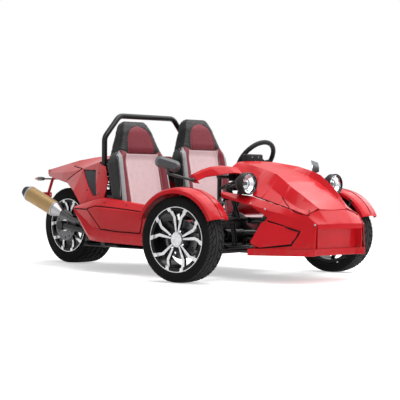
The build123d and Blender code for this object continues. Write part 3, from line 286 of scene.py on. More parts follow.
# %% [markdown]
# Metals. Brake discs and linkages are ground steel, the exhaust's pipe is heat-tinted, its can is bronze
# anodised and brushed, the engine is a dark casting and the lamp bowls are mirror chrome. One recipe takes
# the two colours, the roughness and the direction in which the surface was brushed: noise stretched along
# that direction.

# %% Metals
def metal(name, dark, pale, rough, stretch, scale, depth):
    """A metal with streaks: stretch gives the noise's scale along x, y and z."""
    finish = Finish(name, Metallic=1.0)
    along = finish.vector("MULTIPLY", finish.place(), stretch)
    streak = finish.noise(scale, 3.0, along)
    stain = finish.step(finish.noise(11.0, 4.0), 0.35, 0.7)
    finish.give(Base_Color=finish.mix(streak, dark, pale), Roughness=rough + stain * 0.14)
    finish.give(Normal=finish.bump(streak, depth, 0.0005))
    print(name)
    return finish


steel = metal("ground_steel", (0.24, 0.24, 0.25), (0.44, 0.44, 0.45), 0.28, (1, 1, 1), 240.0, 0.06)
pipe_steel = metal("tinted_pipe", (0.045, 0.045, 0.05), (0.11, 0.105, 0.105), 0.34, (1, 1, 1), 30.0, 0.03)
bronze = metal("bronze_anodised", (0.27, 0.175, 0.08), (0.35, 0.235, 0.115), 0.42, (2.5, 1, 2.5), 90.0, 0.08)
casting = metal("dark_casting", (0.035, 0.036, 0.04), (0.07, 0.07, 0.075), 0.5, (1, 1, 1), 170.0, 0.3)
chrome = metal("mirror_chrome", (0.66, 0.67, 0.69), (0.74, 0.75, 0.76), 0.06, (1, 1, 1), 40.0, 0.0)
disc_steel = metal("worn_disc", (0.07, 0.07, 0.075), (0.17, 0.17, 0.175), 0.34, (1, 1, 1), 200.0, 0.08)
silvering = metal("mirror_silvering", (0.78, 0.80, 0.82), (0.84, 0.85, 0.87), 0.02, (1, 1, 1), 20.0, 0.0)
grey_shell = black("grey_plastic", (0.035, 0.038, 0.042), (0.05, 0.053, 0.058), 0.36, 600.0, 0.12, 0.4)
spring_coat = black("grey_spring_coat", (0.16, 0.16, 0.175), (0.24, 0.24, 0.255), 0.32, 400.0, 0.06, 0.3, 0.2)

# %% [markdown]
# Clear and coloured plastics. A lens lets light through, so its transmission is constant. The tail lamp and
# the turn signals are tinted and a little cloudy, and the signals' front half is the black shell that holds
# the lens.

# %% Lenses
glass = Finish("clear_lens", Base_Color=(0.97, 0.98, 1.0), IOR=1.45, Transmission_Weight=1.0)
glass.give(Roughness=0.01 + glass.step(glass.noise(90.0, 3.0), 0.35, 0.75) * 0.05)
red_lens = Finish("red_lens", Coat_Weight=1.0, Coat_Roughness=0.03, Roughness=0.15)
facet = red_lens.cells(170.0)
red_lens.give(Base_Color=red_lens.mix(facet, (0.25, 0.003, 0.006), (0.55, 0.01, 0.02)))
red_lens.give(Normal=red_lens.bump(facet, 0.15, 0.002))
amber_lens = Finish("amber_lens", Coat_Weight=0.8, Coat_Roughness=0.05, Roughness=0.2)
signal_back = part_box("turn_signals")[0].x
behind = amber_lens.axes(amber_lens.place())[0] < signal_back + 0.046
amber_facet = amber_lens.mix(amber_lens.cells(190.0), (0.30, 0.07, 0.006), (0.62, 0.20, 0.015))
amber_lens.give(Base_Color=amber_lens.mix(behind, (0.010, 0.010, 0.011), amber_facet))
print("clear, red and amber lenses")

# %% [markdown]
# The vent's mesh is a dark woven grille. Two sets of slanting threads cross, and the holes between them
# are black. The threads are sine waves over the panel's length and height, so the weave follows the side
# of the body.

# %% Vent mesh
mesh = Finish("vent_mesh", Specular_IOR_Level=0.15)
x, y, z = mesh.axes(mesh.place())
first = mesh.maths("SINE", (x + z) * 560.0)
second = mesh.maths("SINE", (x - z) * 560.0)
thread = mesh.step(mesh.maths("MAXIMUM", first, second), 0.1, 0.75)
mesh.give(Base_Color=mesh.mix(thread, (0.003, 0.003, 0.004), (0.028, 0.031, 0.040)))
mesh.give(Roughness=0.65 - thread * 0.2)
mesh.give(Normal=mesh.bump(thread, 0.7, 0.002))
print("vent mesh")

# %% [markdown]
# Each solid now takes the finish of its record slot. Wheels, the exhaust's pipe and a few others differ
# from their slot's usual finish, so they are named one by one.

# %% Give every solid its finish
finish_of_slot = {
    "red_body": red, "black_frame": enamel, "tyre_rubber": rubber, "bright_steel": steel,
    "spring_steel": spring_coat, "black_plastic": plastic, "vent_mesh": mesh, "seat_leather": plastic,
    "bronze_can": bronze, "engine_metal": casting, "reflector": chrome, "lamp_glass": glass,
    "mirror_face": silvering, "red_lens": red_lens, "amber_lens": amber_lens,
}
special = {
    **wheel_finish, "exhaust_pipe": pipe_steel, "exhaust_cone": steel, "mirror_shells": grey_shell,
    "rear_disc": disc_steel, "front_disc_right": disc_steel, "front_disc_left": disc_steel,
    "sprocket": disc_steel,
}
for node, solid in nodes.items():
    finish = special.get(node) or finish_of_slot[slot_of[node]]
    solid.data.materials.clear()
    solid.data.materials.append(finish.material)
print("finishes on", len(nodes), "solids")

# %% [markdown]
# From here on new pieces join the vehicle. Each one becomes an object at the origin with its place in
# its mesh, takes a finish and rides on a body. Where it stands for a CAD solid, that solid is hidden.
# Smooth shading with sharp folds kept suits both moulded panels and turned parts.

# %% Put a finished mesh on the vehicle
def fit(bm, name, finish, body="chassis", stands_for=(), fold=32):
    """Make an object of this mesh; edges that turn by more than fold degrees stay sharp."""
    shape = bpy.data.meshes.new(name)
    bm.to_mesh(shape)
    bm.free()
    shape.shade_smooth()
    shape.set_sharp_from_angle(angle=math.radians(fold))
    made = bpy.data.objects.new(name, shape)
    made.data.materials.append(finish.material)
    bpy.context.collection.objects.link(made)
    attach(made, body)
    if stands_for:
        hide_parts(*stands_for)
    return made


# %% [markdown]
# Body panels are vacuum-formed sheets, so no fold on them is knife-sharp. Rounding could be faked in the
# shader, but a real bevel also catches light at the outline. Each panel is a copy of its solid: the loose
# triangles are merged, flat neighbours are dissolved, and only edges that fold clearly are bevelled.

# %% Panels with rounded folds
def welded(node):
    """A merged copy of a solid's mesh."""
    bm = bmesh.new()
    bm.from_mesh(nodes[node].data)
    bmesh.ops.remove_doubles(bm, verts=bm.verts, dist=1e-5)
    bmesh.ops.dissolve_limit(bm, angle_limit=math.radians(0.5), verts=bm.verts, edges=bm.edges)
    return bm


def softened(node, width, finish, least=20, segments=2):
    """A copy of a solid whose folds over least degrees are rounded."""
    bm = welded(node)
    folds = [edge for edge in bm.edges
             if len(edge.link_faces) == 2 and edge.calc_face_angle(0) > math.radians(least)]
    bmesh.ops.bevel(bm, geom=folds, offset=width, offset_type="OFFSET", affect="EDGES", segments=segments,
                    profile=0.5, material=-1, clamp_overlap=True)
    print(node, len(folds), "folds rounded")
    return fit(bm, f"{node}_skin", finish, body_of[node], [node], 22)


panel_widths = {
    "nose_cowl": 0.003, "nose_cheeks": 0.002, "nose_insets": 0.002, "nose_fascia": 0.002, "splitter": 0.003,
    "shoulder_wings": 0.002, "side_pods": 0.003, "rear_quarters": 0.002, "rear_deck": 0.002, "tail": 0.003,
    "mudguard_right": 0.0012, "mudguard_left": 0.0012,
}
skins = {node: softened(node, width, red) for node, width in panel_widths.items()}

# %% [markdown]
# Dark lines run where two sheets meet: a black sealing strip sits in each joint. A strip follows a few corner
# points, read off the panels. Between them many short steps are pulled onto the panel's surface, and one edge
# that lies across the strip is extruded from step to step. A solidify gives the ribbon its thickness.

# %% Sealing strips
depsgraph = bpy.context.evaluated_depsgraph_get()
trees = {node: BVHTree.FromObject(skin, depsgraph) for node, skin in skins.items()}


def on_panel(point, panels, heart=None):
    """The place on these panels' outer face, looking towards the heart, and the face's direction."""
    point = Vector(point)
    away = (point - (heart or Vector((point.x, 0, 0.35)))).normalized()
    hits = [trees[node].ray_cast(point + away * 0.04, -away, 0.08) for node in panels]
    hits = [hit for hit in hits if hit[0]] or [trees[node].find_nearest(point) for node in panels]
    place, normal, _, _ = min(hits, key=lambda hit: hit[3])
    return place, normal


def strip(bm, corners, panels, width, heart=None, proud=0.0016):
    """A ribbon over the panels from corner to corner."""
    steps = []
    for start, end in zip(corners, corners[1:]):
        start, end = Vector(start), Vector(end)
        count = max(2, int((end - start).length / 0.012))
        steps += [on_panel(start.lerp(end, index / count), panels, heart) for index in range(count)]
    steps.append(on_panel(corners[-1], panels, heart))
    edge = bm.edges.new([bm.verts.new() for _ in range(2)])
    pair = list(edge.verts)
    for index, (place, normal) in enumerate(steps):
        ahead = steps[min(index + 1, len(steps) - 1)][0] - steps[max(index - 1, 0)][0]
        across = normal.cross(ahead).normalized() * width / 2
        if index:
            grown = bmesh.ops.extrude_edge_only(bm, edges=[edge])["geom"]
            edge = next(item for item in grown if isinstance(item, bmesh.types.BMEdge))
            pair = [link.other_vert(vert) for vert in pair for link in vert.link_edges
                    if link.other_vert(vert) in edge.verts]
        for vert, side in zip(pair, (-1, 1)):
            vert.co = place + across * side + normal * proud


def strips(name, lines, panels, width, body="chassis", heart=None):
    """One object of strips; those of the chassis are also laid on the other side of the vehicle."""
    bm = bmesh.new()
    for corners in lines:
        strip(bm, corners, panels, width, heart)
        if not heart:
            strip(bm, [(x, -y, z) for x, y, z in corners], panels, width)
    bmesh.ops.recalc_face_normals(bm, faces=bm.faces)
    bmesh.ops.solidify(bm, geom=bm.faces, thickness=0.0016)
    print(name, len(lines), "lines")
    return fit(bm, name, gasket, body)


pod_top = [(-0.430, -0.585, 0.424), (-0.258, -0.583, 0.417), (-0.161, -0.585, 0.441), (0.043, -0.589, 0.431),
           (0.330, -0.594, 0.411)]
pod_pocket = [(-0.246, -0.585, 0.418), (-0.129, -0.568, 0.288), (0.026, -0.573, 0.277),
              (0.262, -0.572, 0.272), (0.306, -0.587, 0.357), (0.335, -0.592, 0.408)]
strips("pod_strips", [pod_top, pod_pocket], ["side_pods"], 0.0065)
nose_panels = ["nose_cowl", "nose_cheeks", "nose_insets", "nose_fascia"]
cheek = [(1.193, -0.379, 0.374), (1.364, -0.280, 0.314), (1.329, -0.316, 0.232), (1.240, -0.380, 0.221),
         (1.130, -0.450, 0.213)]
strips("cheek_strips", [cheek], nose_panels, 0.010)
bonnet_edge = [(1.199, -0.256, 0.514), (1.243, -0.268, 0.478), (1.285, -0.279, 0.447), (1.322, -0.274, 0.428),
               (1.364, -0.2575, 0.415), (1.389, -0.227, 0.407), (1.367, -0.198, 0.440)]
bonnet_side = [(1.078, -0.360, 0.519), (1.183, -0.3205, 0.483), (1.285, -0.279, 0.447)]
strips("bonnet_strips", [bonnet_edge, bonnet_side], nose_panels, 0.0045)
GUARD_ARC, GUARD_RADIUS, STRIP_INSET = range(26, 150, 4), 0.312, 0.004
for name, side in SIDES:
    middle, ring = spins[f"wheel_{name}_spin"], []
    for turn in GUARD_ARC:
        swing = Vector((math.cos(math.radians(turn)), 0, math.sin(math.radians(turn)))) * GUARD_RADIUS
        ring.append(middle - AXLE * side * STRIP_INSET + Matrix.Rotation(STEER, 3, "Z") @ swing)
    strips(f"mudguard_strip_{name}", [ring], [f"mudguard_{name}"], 0.004, f"knuckle_{name}", middle)
rear_panels = ["tail", "rear_deck", "rear_quarters"]
tail_low = [(-0.835, -0.262, 0.592), (-0.735, -0.300, 0.645), (-0.6124, -0.3295, 0.6934)]
tail_high = [(-0.6124, -0.3295, 0.6934), (-0.760, -0.270, 0.720), (-0.835, -0.235, 0.731)]
strips("tail_strips", [tail_low, tail_high], rear_panels, 0.005)

# %% [markdown]
# Button-head bolts hold the panels to the frame. One head is a small dome with a round socket in it. The
# dome's profile is spun about the panel's own direction at each place, so every head sits flat on its panel.

# %% Panel bolts
def spin_profile(bm, profile, steps):
    """Spin a profile of (from the line, along the line) about the z axis."""
    verts = [bm.verts.new((reach, 0, rise)) for reach, rise in profile]
    edges = [bm.edges.new(pair) for pair in zip(verts, verts[1:])]
    bmesh.ops.spin(bm, geom=verts + edges, cent=(0, 0, 0), axis=(0, 0, 1), angle=math.tau, steps=steps,
                   use_merge=True)


def settle(bm, centre, axis):
    """Move what was made last from the z axis to a line through centre."""
    turn = Vector((0, 0, 1)).rotation_difference(Vector(axis)).to_matrix().to_4x4()
    fresh = [vert for vert in bm.verts if not vert.tag]
    bmesh.ops.transform(bm, matrix=Matrix.Translation(centre) @ turn, verts=fresh)
    for vert in bm.verts:
        vert.tag = True


def bolt(bm, place, normal, radius=0.0062, height=0.0034):
    """A domed bolt head on a surface, with a hollow in its middle."""
    profile = [(radius, -0.001), (radius, height * 0.25), (radius * 0.78, height * 0.8),
               (radius * 0.5, height), (radius * 0.46, height * 0.3), (0, height * 0.3)]
    spin_profile(bm, profile, 12)
    settle(bm, place, normal)


def bolts(name, places, panels, finish):
    """Bolt heads at these places and on the other side."""
    bm = bmesh.new()
    for x, y, z in places:
        for side in (1, -1):
            bolt(bm, *on_panel((x, y * side, z), panels))
    bmesh.ops.remove_doubles(bm, verts=bm.verts, dist=1e-5)
    bmesh.ops.recalc_face_normals(bm, faces=bm.faces)
    print(name, len(places))
    return fit(bm, name, finish)


rear_places = [(-0.579, -0.3565, 0.667), (-0.292, -0.446, 0.660), (-0.389, -0.470, 0.544),
               (-0.225, -0.5075, 0.520)]
bolts("body_bolts", rear_places, rear_panels, enamel)
bolts("pod_bolts", [(-0.0865, -0.570, 0.4655), (0.130, -0.568, 0.451)], ["side_pods"], enamel)
nose_places = [(1.086, -0.414, 0.479), (1.171, -0.379, 0.444), (1.437, -0.230, 0.354)]
bolts("nose_bolts", nose_places, nose_panels, steel)
bolts("wing_bolts", [(0.665, -0.485, 0.618)], ["shoulder_wings"], enamel)

# %% [markdown]
# Tyres. A tyre is a ring of one section, so its section is spun round the axle. The tread is then pressed
# into it: points on the tread move towards the axle where a groove runs. Two broad grooves go all round,
# and slanting ones sweep from the middle out over the shoulders, as on a directional road tyre. Raised
# rings guard the side walls.

# %% Tyres with tread
def tyre_section(radius, half, bead):
    """The closed section of a tyre as (along the axle, from the axle), tread first."""
    shoulder = half - SHOULDER_INSET
    count = 44
    shares = [2 * index / count - 1 for index in range(count + 1)]
    tread = [(shoulder * share, radius - CROWN * share ** 2) for share in shares]
    wall = [(half - 0.0085, radius - 0.0085), (half - 0.004, radius - 0.015),
            (half - 0.0015, radius - 0.022), (half - 0.0005, radius - 0.027),
            (half - 0.0020, radius - 0.0285), (half - 0.0005, radius - 0.034),
            (half - 0.0030, bead + 0.018), (half - 0.0015, bead + 0.015), (half - 0.0022, bead + 0.011),
            (half - 0.0060, bead + 0.009), (half - 0.0095, bead + 0.004), (half - 0.0135, bead + 0.001)]
    inner = [(half - 0.020, bead + 0.001), (half - 0.016, bead + 0.02), (half - 0.022, radius - 0.025)]
    side = wall + inner
    return tread + side + [(-along, away) for along, away in reversed(side)]


def groove(along, turn, shoulder, repeats, sweep):
    """How deep the tread is cut here, from 0 to 1; turn is the angle round the axle."""
    ring_places = ((0.20, 0.0042), (0.60, 0.0036))
    rings = max(1 - abs(abs(along) - shoulder * place) / width for place, width in ring_places)
    phase = (turn * repeats / math.tau + sweep * abs(along) / shoulder + (0.5 if along > 0 else 0)) % 1
    slant = 1 - abs(phase - 0.5) / 0.13
    slant = slant if abs(along) > shoulder * 0.26 else 0
    half_slant = 1 - abs((phase + 0.5) % 1 - 0.5) / 0.08
    half_slant = half_slant if abs(along) > shoulder * 0.66 else 0
    edge = max(0, min(1, (shoulder - abs(along)) / 0.012))
    return max(0, min(1, 2.2 * max(rings, slant * edge, half_slant * edge)))


def tyre(node, centre, steer, radius, half, bead=0.1985, repeats=30, steps=480, depth=0.0052):
    """A treaded tyre at this wheel centre, turned about the vertical by steer."""
    bm = bmesh.new()
    verts = [bm.verts.new((0, along, away)) for along, away in tyre_section(radius, half, bead)]
    edges = [bm.edges.new((vert, verts[index - 1])) for index, vert in enumerate(verts)]
    bmesh.ops.spin(bm, geom=verts + edges, cent=(0, 0, 0), axis=(0, 1, 0), angle=math.tau, steps=steps,
                   use_merge=True)
    bmesh.ops.remove_doubles(bm, verts=bm.verts, dist=1e-6)
    shoulder = half - 0.0085
    for vert in bm.verts:
        away = math.hypot(vert.co.x, vert.co.z)
        if away > radius - 0.010:
            cut = groove(vert.co.y, math.atan2(vert.co.x, vert.co.z), shoulder, repeats, -1.5)
            vert.co.x *= 1 - depth * cut / away
            vert.co.z *= 1 - depth * cut / away
    bmesh.ops.recalc_face_normals(bm, faces=bm.faces)
    stand = Matrix.Translation(centre) @ Matrix.Rotation(steer, 4, "Z")
    bmesh.ops.transform(bm, matrix=stand, verts=bm.verts)
    print(node, len(bm.faces), "faces")
    outward = Matrix.Rotation(steer, 3, "Z") @ Vector((0, 1, 0))
    wear_and_crease_shade = tyre_rubber(f"{node}_rubber", centre, outward, radius, half)
    return fit(bm, f"{node}_tread", wear_and_crease_shade, body_of[node], [node], 40)


FRONT_RADIUS, FRONT_HALF = 0.26, 0.0825
REAR_RADIUS, REAR_HALF = 0.28, 0.12
for name, _ in SIDES:
    tyre(f"front_tyre_{name}", spins[f"wheel_{name}_spin"], STEER, FRONT_RADIUS, FRONT_HALF)
tyre("rear_tyre", spins["rear_wheel_spin"], 0, REAR_RADIUS, REAR_HALF)

# %% [markdown]
# Coil springs. A coil is a round wire wound about the damper, so a small circle is spun about the shock's
# line while it climbs: spin takes a step vector for that. The damper and its collars are one spun profile,
# and a pin through its foot makes the eye.

# %% Shocks with coil springs
def coil_shock(name, foot, top, radius, turns, low, high, eye, stands_for, wire=0.0047):
    """Springs and dampers on lines from foot to top; low and high are shares of the length."""
    for part, finish, slot in (("spring", spring_coat, "spring_steel"), ("damper", enamel, "black_frame")):
        bm = bmesh.new()
        for start, end in zip(foot, top):
            start, end = Vector(start), Vector(end)
            length = (end - start).length
            if part == "spring":
                count = 24 * turns
                climb = length * (high - low) / count
                stand = Matrix.Translation((radius, 0, length * low)) @ Matrix.Rotation(math.pi / 2, 4, "X")
                circle = bmesh.ops.create_circle(bm, segments=10, radius=wire, matrix=stand)["verts"]
                edges = list({edge for vert in circle for edge in vert.link_edges})
                bmesh.ops.spin(bm, geom=circle + edges, cent=(0, 0, 0), axis=(0, 0, 1),
                               angle=math.tau * turns, steps=count, dvec=(0, 0, climb))
                bmesh.ops.holes_fill(bm, edges=[edge for edge in bm.edges if edge.is_boundary], sides=12)
            else:
                rim, seat, cap, neck = radius + wire, length * low, length * high, length * 0.62
                profile = [(0, 0.012), (0.014, 0.012), (0.015, 0.02), (0.015, seat - 0.016),
                           (rim, seat - 0.014), (rim, seat - 0.006), (0.018, seat - 0.006), (0.018, neck),
                           (0.008, neck), (0.008, cap + 0.004), (rim, cap + 0.004), (rim, cap + 0.012),
                           (0.010, cap + 0.016), (0.010, length - eye), (0, length - eye)]
                spin_profile(bm, profile, 28)
                for reach in (0.0125, 0.0155):
                    bmesh.ops.create_cone(bm, cap_ends=True, segments=24, radius1=reach, radius2=reach,
                                          depth=0.040 - reach, matrix=Matrix.Rotation(math.pi / 2, 4, "Y"))
            settle(bm, start, end - start)
        bmesh.ops.remove_doubles(bm, verts=bm.verts, dist=1e-6)
        bmesh.ops.recalc_face_normals(bm, faces=bm.faces)
        print(name, part, len(bm.faces), "faces")
        fit(bm, f"{name}_{part}", finish, "chassis", stands_for if part == "spring" else ())


low_corner, high_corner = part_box("front_shocks")
shock_x = (low_corner.x + high_corner.x) / 2
feet = [(shock_x, side * 0.545, low_corner.z + 0.015) for _, side in SIDES]
tops = [(shock_x, side * 0.318, 0.566) for _, side in SIDES]
coil_shock("front_shock", feet, tops, 0.0265, 7, 0.28, 0.84, 0.0225, ["front_shocks"])
low_corner, high_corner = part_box("rear_shock")
shock_x = (low_corner.x + high_corner.x) / 2
feet = [(shock_x, 0, low_corner.z - 0.011)]
tops = [(shock_x, 0, high_corner.z)]
coil_shock("rear_shock", feet, tops, 0.0255, 8, 0.2, 0.85, 0.0, ["rear_shock"])

# %% [markdown]
# Rims. The lathe leaves a bright face on each spoke, and the casting's corners stay black beside it. A flat
# chamfer round every spoke gives that: its slanting faces turn away from the lathe, so the finish paints
# them black.

# %% Chamfered rims
for node in wheel_finish:
    softened(node, 0.0035, wheel_finish[node], 40, 1)

# %% [markdown]
# Seat leather. Each back is sewn from four leathers: a panel in the middle, whose pale rose is a painted
# reflection of the sky on its leather, a maroon headrest panel and maroon flanks, grey stripes along the
# bolsters, and black for the rest. The panels' places are measured on the seat: from its middle line
# sideways, and from its foot up the leaning back. The grain is a cell pattern, and stitches are short dashes
# beside the seams.

# %% Leather helpers
LEAN = math.radians(13)
SEAT_Y, FOOT_X, FOOT_Z, LIFT = 0.29, 0.069, 0.318, 0.038
HEAD_LOW, HEAD_TALL, HEAD_HALF = 0.487, 0.188, 0.118
PANEL_HALF, PANEL_TOP, PANEL_END = 0.142, 0.485, 0.475
STITCH_GAP, STRIPE = 0.006, 0.022
# The pale rose is a painted reflection of the sky on the middle panels' leather.
PAINTED_SHEEN_ROSE, MAROON = (0.66, 0.47, 0.485), (0.17, 0.018, 0.028)
GREY, BLACK = (0.34, 0.34, 0.35), (0.008, 0.008, 0.009)


def crest_line(up):
    """How far from the seat's middle the bolster's crest runs at this height."""
    return 0.188 + (0.40 - up) * 0.05


def grained(finish, colour, stitch):
    """Finish a leather: creases get a little painted shade, cells give the grain and stitches stand out."""
    crease = finish.step(finish.noise(34.0, 4.0), 0.42, 0.72)
    # In the creases the colour is painted a little darker, towards near-black: painted shade.
    wear_and_crease_shade = finish.mix(crease * 0.07, colour, (0.02, 0.015, 0.016))
    finish.give(Base_Color=finish.mix(stitch, wear_and_crease_shade, (0.34, 0.33, 0.33)), Roughness=0.46 + crease * 0.14)
    folds = finish.bump(finish.noise(22.0, 3.0), 0.12, 0.006)
    finish.give(Normal=finish.bump(finish.cells(520.0) + stitch * 0.6, 0.22, 0.0012, folds))
    print(finish.material.name)


# %% Leather of the seat backs
back_leather = Finish("seat_back_leather", Specular_IOR_Level=0.25)
x, y, z = back_leather.axes(back_leather.place())
aside = abs(abs(y) - SEAT_Y)
rise = z - FOOT_Z - (y > 0) * LIFT
up = rise * math.cos(LEAN) - (x - FOOT_X) * math.sin(LEAN)
out_of_back = (math.cos(LEAN), 0, math.sin(LEAN))
face = back_leather.vector("DOT_PRODUCT", back_leather.place("Normal"), out_of_back, "Value") > 0.05
lower = (up - PANEL_TOP - back_leather.maths("MAXIMUM", aside - 0.12, 0.0) * 0.35 < 0) * face
share = (up - HEAD_LOW) / HEAD_TALL
arch = back_leather.maths("SQRT", back_leather.maths("MAXIMUM", 1 - share * share * share, 0.0)) * HEAD_HALF
head = (up > HEAD_LOW) * (up < HEAD_LOW + HEAD_TALL) * (aside < arch) * face
crest = crest_line(up)
colour = back_leather.mix(lower * (aside < crest + STRIPE), BLACK, GREY)
colour = back_leather.mix(lower * (aside < crest), colour, MAROON)
# The middle panel's pale rose is a painted reflection of the sky on its leather.
colour = back_leather.mix(lower * (aside < PANEL_HALF) * (up < PANEL_TOP), colour, PAINTED_SHEEN_ROSE)
colour = back_leather.mix(head, colour, MAROON)
dash = back_leather.maths("SINE", up * 800.0) > -0.3
beside_panel = back_leather.step(abs(aside - PANEL_HALF - STITCH_GAP), 0.0012, 0.0006)
beside_stripe = back_leather.step(abs(aside - crest - 0.027), 0.0012, 0.0006)
beside = beside_panel + beside_stripe
grained(back_leather, colour, dash * beside * lower)

# %% Leather of the cushions
cushion_leather = Finish("seat_cushion_leather", Specular_IOR_Level=0.25)
x, y, z = cushion_leather.axes(cushion_leather.place())
aside = abs(abs(y) - SEAT_Y)
upward = cushion_leather.axes(cushion_leather.place("Normal"))[2] > 0.15
colour = cushion_leather.mix(upward * (aside < 0.178), BLACK, MAROON)
# The cushion's middle panel gets the same pale rose, a painted reflection of the sky on its leather.
colour = cushion_leather.mix(upward * (aside < PANEL_HALF) * (x < PANEL_END), colour, PAINTED_SHEEN_ROSE)
dash = cushion_leather.maths("SINE", x * 800.0) > -0.3
beside = cushion_leather.step(abs(aside - PANEL_HALF - STITCH_GAP), 0.0012, 0.0006)
grained(cushion_leather, colour, dash * beside * upward)

# %% [markdown]
# Seat pads. Foam under a sewn cover is a soft, swollen form, so each pad is blown up like a cushion. A copy
# of the solid, scaled a little, is remeshed into even squares. Cloth with pressure inside swells it, and no
# point may move further than a cap. Smoothing and one subdivision even out the result.

# %% Swell a seat solid
def applied(pad):
    """Replace the pad's mesh by what its modifiers make of it."""
    shape = bpy.data.meshes.new_from_object(pad.evaluated_get(bpy.context.evaluated_depsgraph_get()))
    pad.modifiers.clear()
    old, pad.data = pad.data, shape
    bpy.data.meshes.remove(old)


def swollen(node, leather, scale, cap, even=16):
    """A padded copy of a seat solid; scale is its starting size along x, y and z."""
    low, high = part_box(node)
    bm = welded(node)
    middle = Matrix.Translation((low + high) / 2)
    bmesh.ops.transform(bm, matrix=middle @ Matrix.Diagonal((*scale, 1)) @ middle.inverted(), verts=bm.verts)
    pad = fit(bm, f"{node}_pad", leather, body_of[node], [node], 80)
    grid = pad.modifiers.new("squares", "REMESH")
    grid.mode, grid.voxel_size = "VOXEL", 0.0075
    applied(pad)
    rest = [vert.co.copy() for vert in pad.data.vertices]
    cloth = pad.modifiers.new("air", "CLOTH").settings
    cloth.use_pressure, cloth.uniform_pressure_force = True, 4
    cloth.effector_weights.gravity = 0
    for step in range(1, 21):
        bpy.context.scene.frame_set(step)
    applied(pad)
    bpy.context.scene.frame_set(1)
    for vert, start in zip(pad.data.vertices, rest):
        move = vert.co - start
        vert.co = start + move * min(1, cap / max(move.length, 1e-9))
    soften = pad.modifiers.new("even", "SMOOTH")
    soften.factor, soften.iterations = 0.5, even
    half = pad.modifiers.new("halved", "SUBSURF")
    half.levels = half.render_levels = 1
    applied(pad)
    print(node, len(pad.data.polygons), "squares")
    return pad


# %% [markdown]
# Then the cover's cut shows: bolsters rise along both sides, the middle panel lies lower, and every seam
# pulls the cover in by a few millimetres. A bell curve across the seat gives each rise and each seam.

# %% Shape the backs and the cushions
def bell(distance, width):
    return math.exp(-(distance / width) ** 2)


def ramp(value, low, high):
    share = max(0, min(1, (value - low) / (high - low)))
    return share * share * (3 - 2 * share)


def outline(up):
    """Half the back's width at this height: shoulders, a slim neck and a round head."""
    marks = ((0.40, 0.234), (0.46, 0.214), (0.50, 0.190), (0.56, 0.163), (0.65, 0.130), (0.69, 0.114),
             (0.712, 0.094), (0.726, 0.066), (0.80, 0.050))
    for (low, near), (high, far) in zip(marks, marks[1:]):
        if up < high:
            return near + (far - near) * max(0, up - low) / (high - low)
    return marks[-1][1]


LEVEL = 0.012
SEAM, SEAM_DEPTH = 0.0035, 0.004
lean_up = Vector((-math.sin(LEAN), 0, math.cos(LEAN)))
lean_out = Vector(out_of_back)
for name, side in SIDES:
    pad = swollen(f"seat_back_{name}", back_leather, (1.0, 1.015, 1.005), 0.011)
    foot = Vector((FOOT_X, side * SEAT_Y, FOOT_Z + (LIFT if side > 0 else 0)))
    reach = {}
    for vert in pad.data.vertices:
        offset = vert.co - foot
        level = round(offset.dot(lean_up) / LEVEL)
        reach[level] = max(reach.get(level, 0.02), abs(offset.y))
    for vert in pad.data.vertices:
        offset = vert.co - foot
        aside, up, out = abs(offset.y), offset.dot(lean_up), offset.dot(lean_out)
        front = ramp(out, -0.065, -0.02)
        below = 1 - ramp(up, 0.44, 0.53)
        crest = crest_line(up)
        lift = 0.008 * bell(aside - crest, 0.03) * below - 0.026 * (1 - ramp(aside, 0.115, 0.175)) * below
        share = max(0, min(1, (up - HEAD_LOW) / HEAD_TALL))
        arch = HEAD_HALF * math.sqrt(1 - share ** 3)
        seams = [bell(aside - PANEL_HALF, SEAM) * (up < PANEL_TOP),
                 bell(aside - crest - STRIPE, 0.003) * (up < 0.5),
                 bell(up - 0.486, SEAM) * (aside < PANEL_HALF),
                 bell(aside - arch, 0.004) * (HEAD_LOW < up < 0.672),
                 bell(up - PANEL_TOP - (aside - 0.12) * 0.35, SEAM) * (aside > PANEL_HALF)]
        vert.co += lean_out * (front * (lift - SEAM_DEPTH * max(seams)))
        vert.co.y += offset.y * (outline(up) / reach[round(up / LEVEL)] - 1) * ramp(up, 0.40, 0.46)
    pad.data.shade_smooth()
    cushion = swollen(f"seat_base_{name}", cushion_leather, (0.99, 0.99, 0.95), 0.014)
    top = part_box(f"seat_base_{name}")[1].z
    for vert in cushion.data.vertices:
        aside = abs(abs(vert.co.y) - SEAT_Y)
        upper = ramp(vert.co.z, top - 0.07, top - 0.02)
        lift = 0.018 * bell(aside - 0.185, 0.034) - 0.012 * (1 - ramp(aside, 0.10, 0.15))
        seams = [bell(aside - PANEL_HALF, SEAM) * (vert.co.x < PANEL_END),
                 bell(vert.co.x - 0.476, SEAM) * (aside < PANEL_HALF)]
        vert.co.z += upper * (lift - SEAM_DEPTH * max(seams))
    cushion.data.shade_smooth()
print("seats padded")

# %% [markdown]
# Headlamps. A real lamp has a bezel round its glass, a bulb holder in the middle of the bowl and a ring that
# stops stray light. All three are turned shapes, so each is a short profile spun about the lamp's own line.

# %% Turned rings and nuts
def turned_pieces(name, profile, places, finish, body="chassis", steps=48):
    """One object of the same turned shape at several places, each a centre and an axis."""
    bm = bmesh.new()
    for centre, axis in places:
        spin_profile(bm, profile, steps)
        settle(bm, centre, axis)
    bmesh.ops.remove_doubles(bm, verts=bm.verts, dist=1e-6)
    bmesh.ops.recalc_face_normals(bm, faces=bm.faces)
    print(name, len(places))
    return fit(bm, name, finish, body)


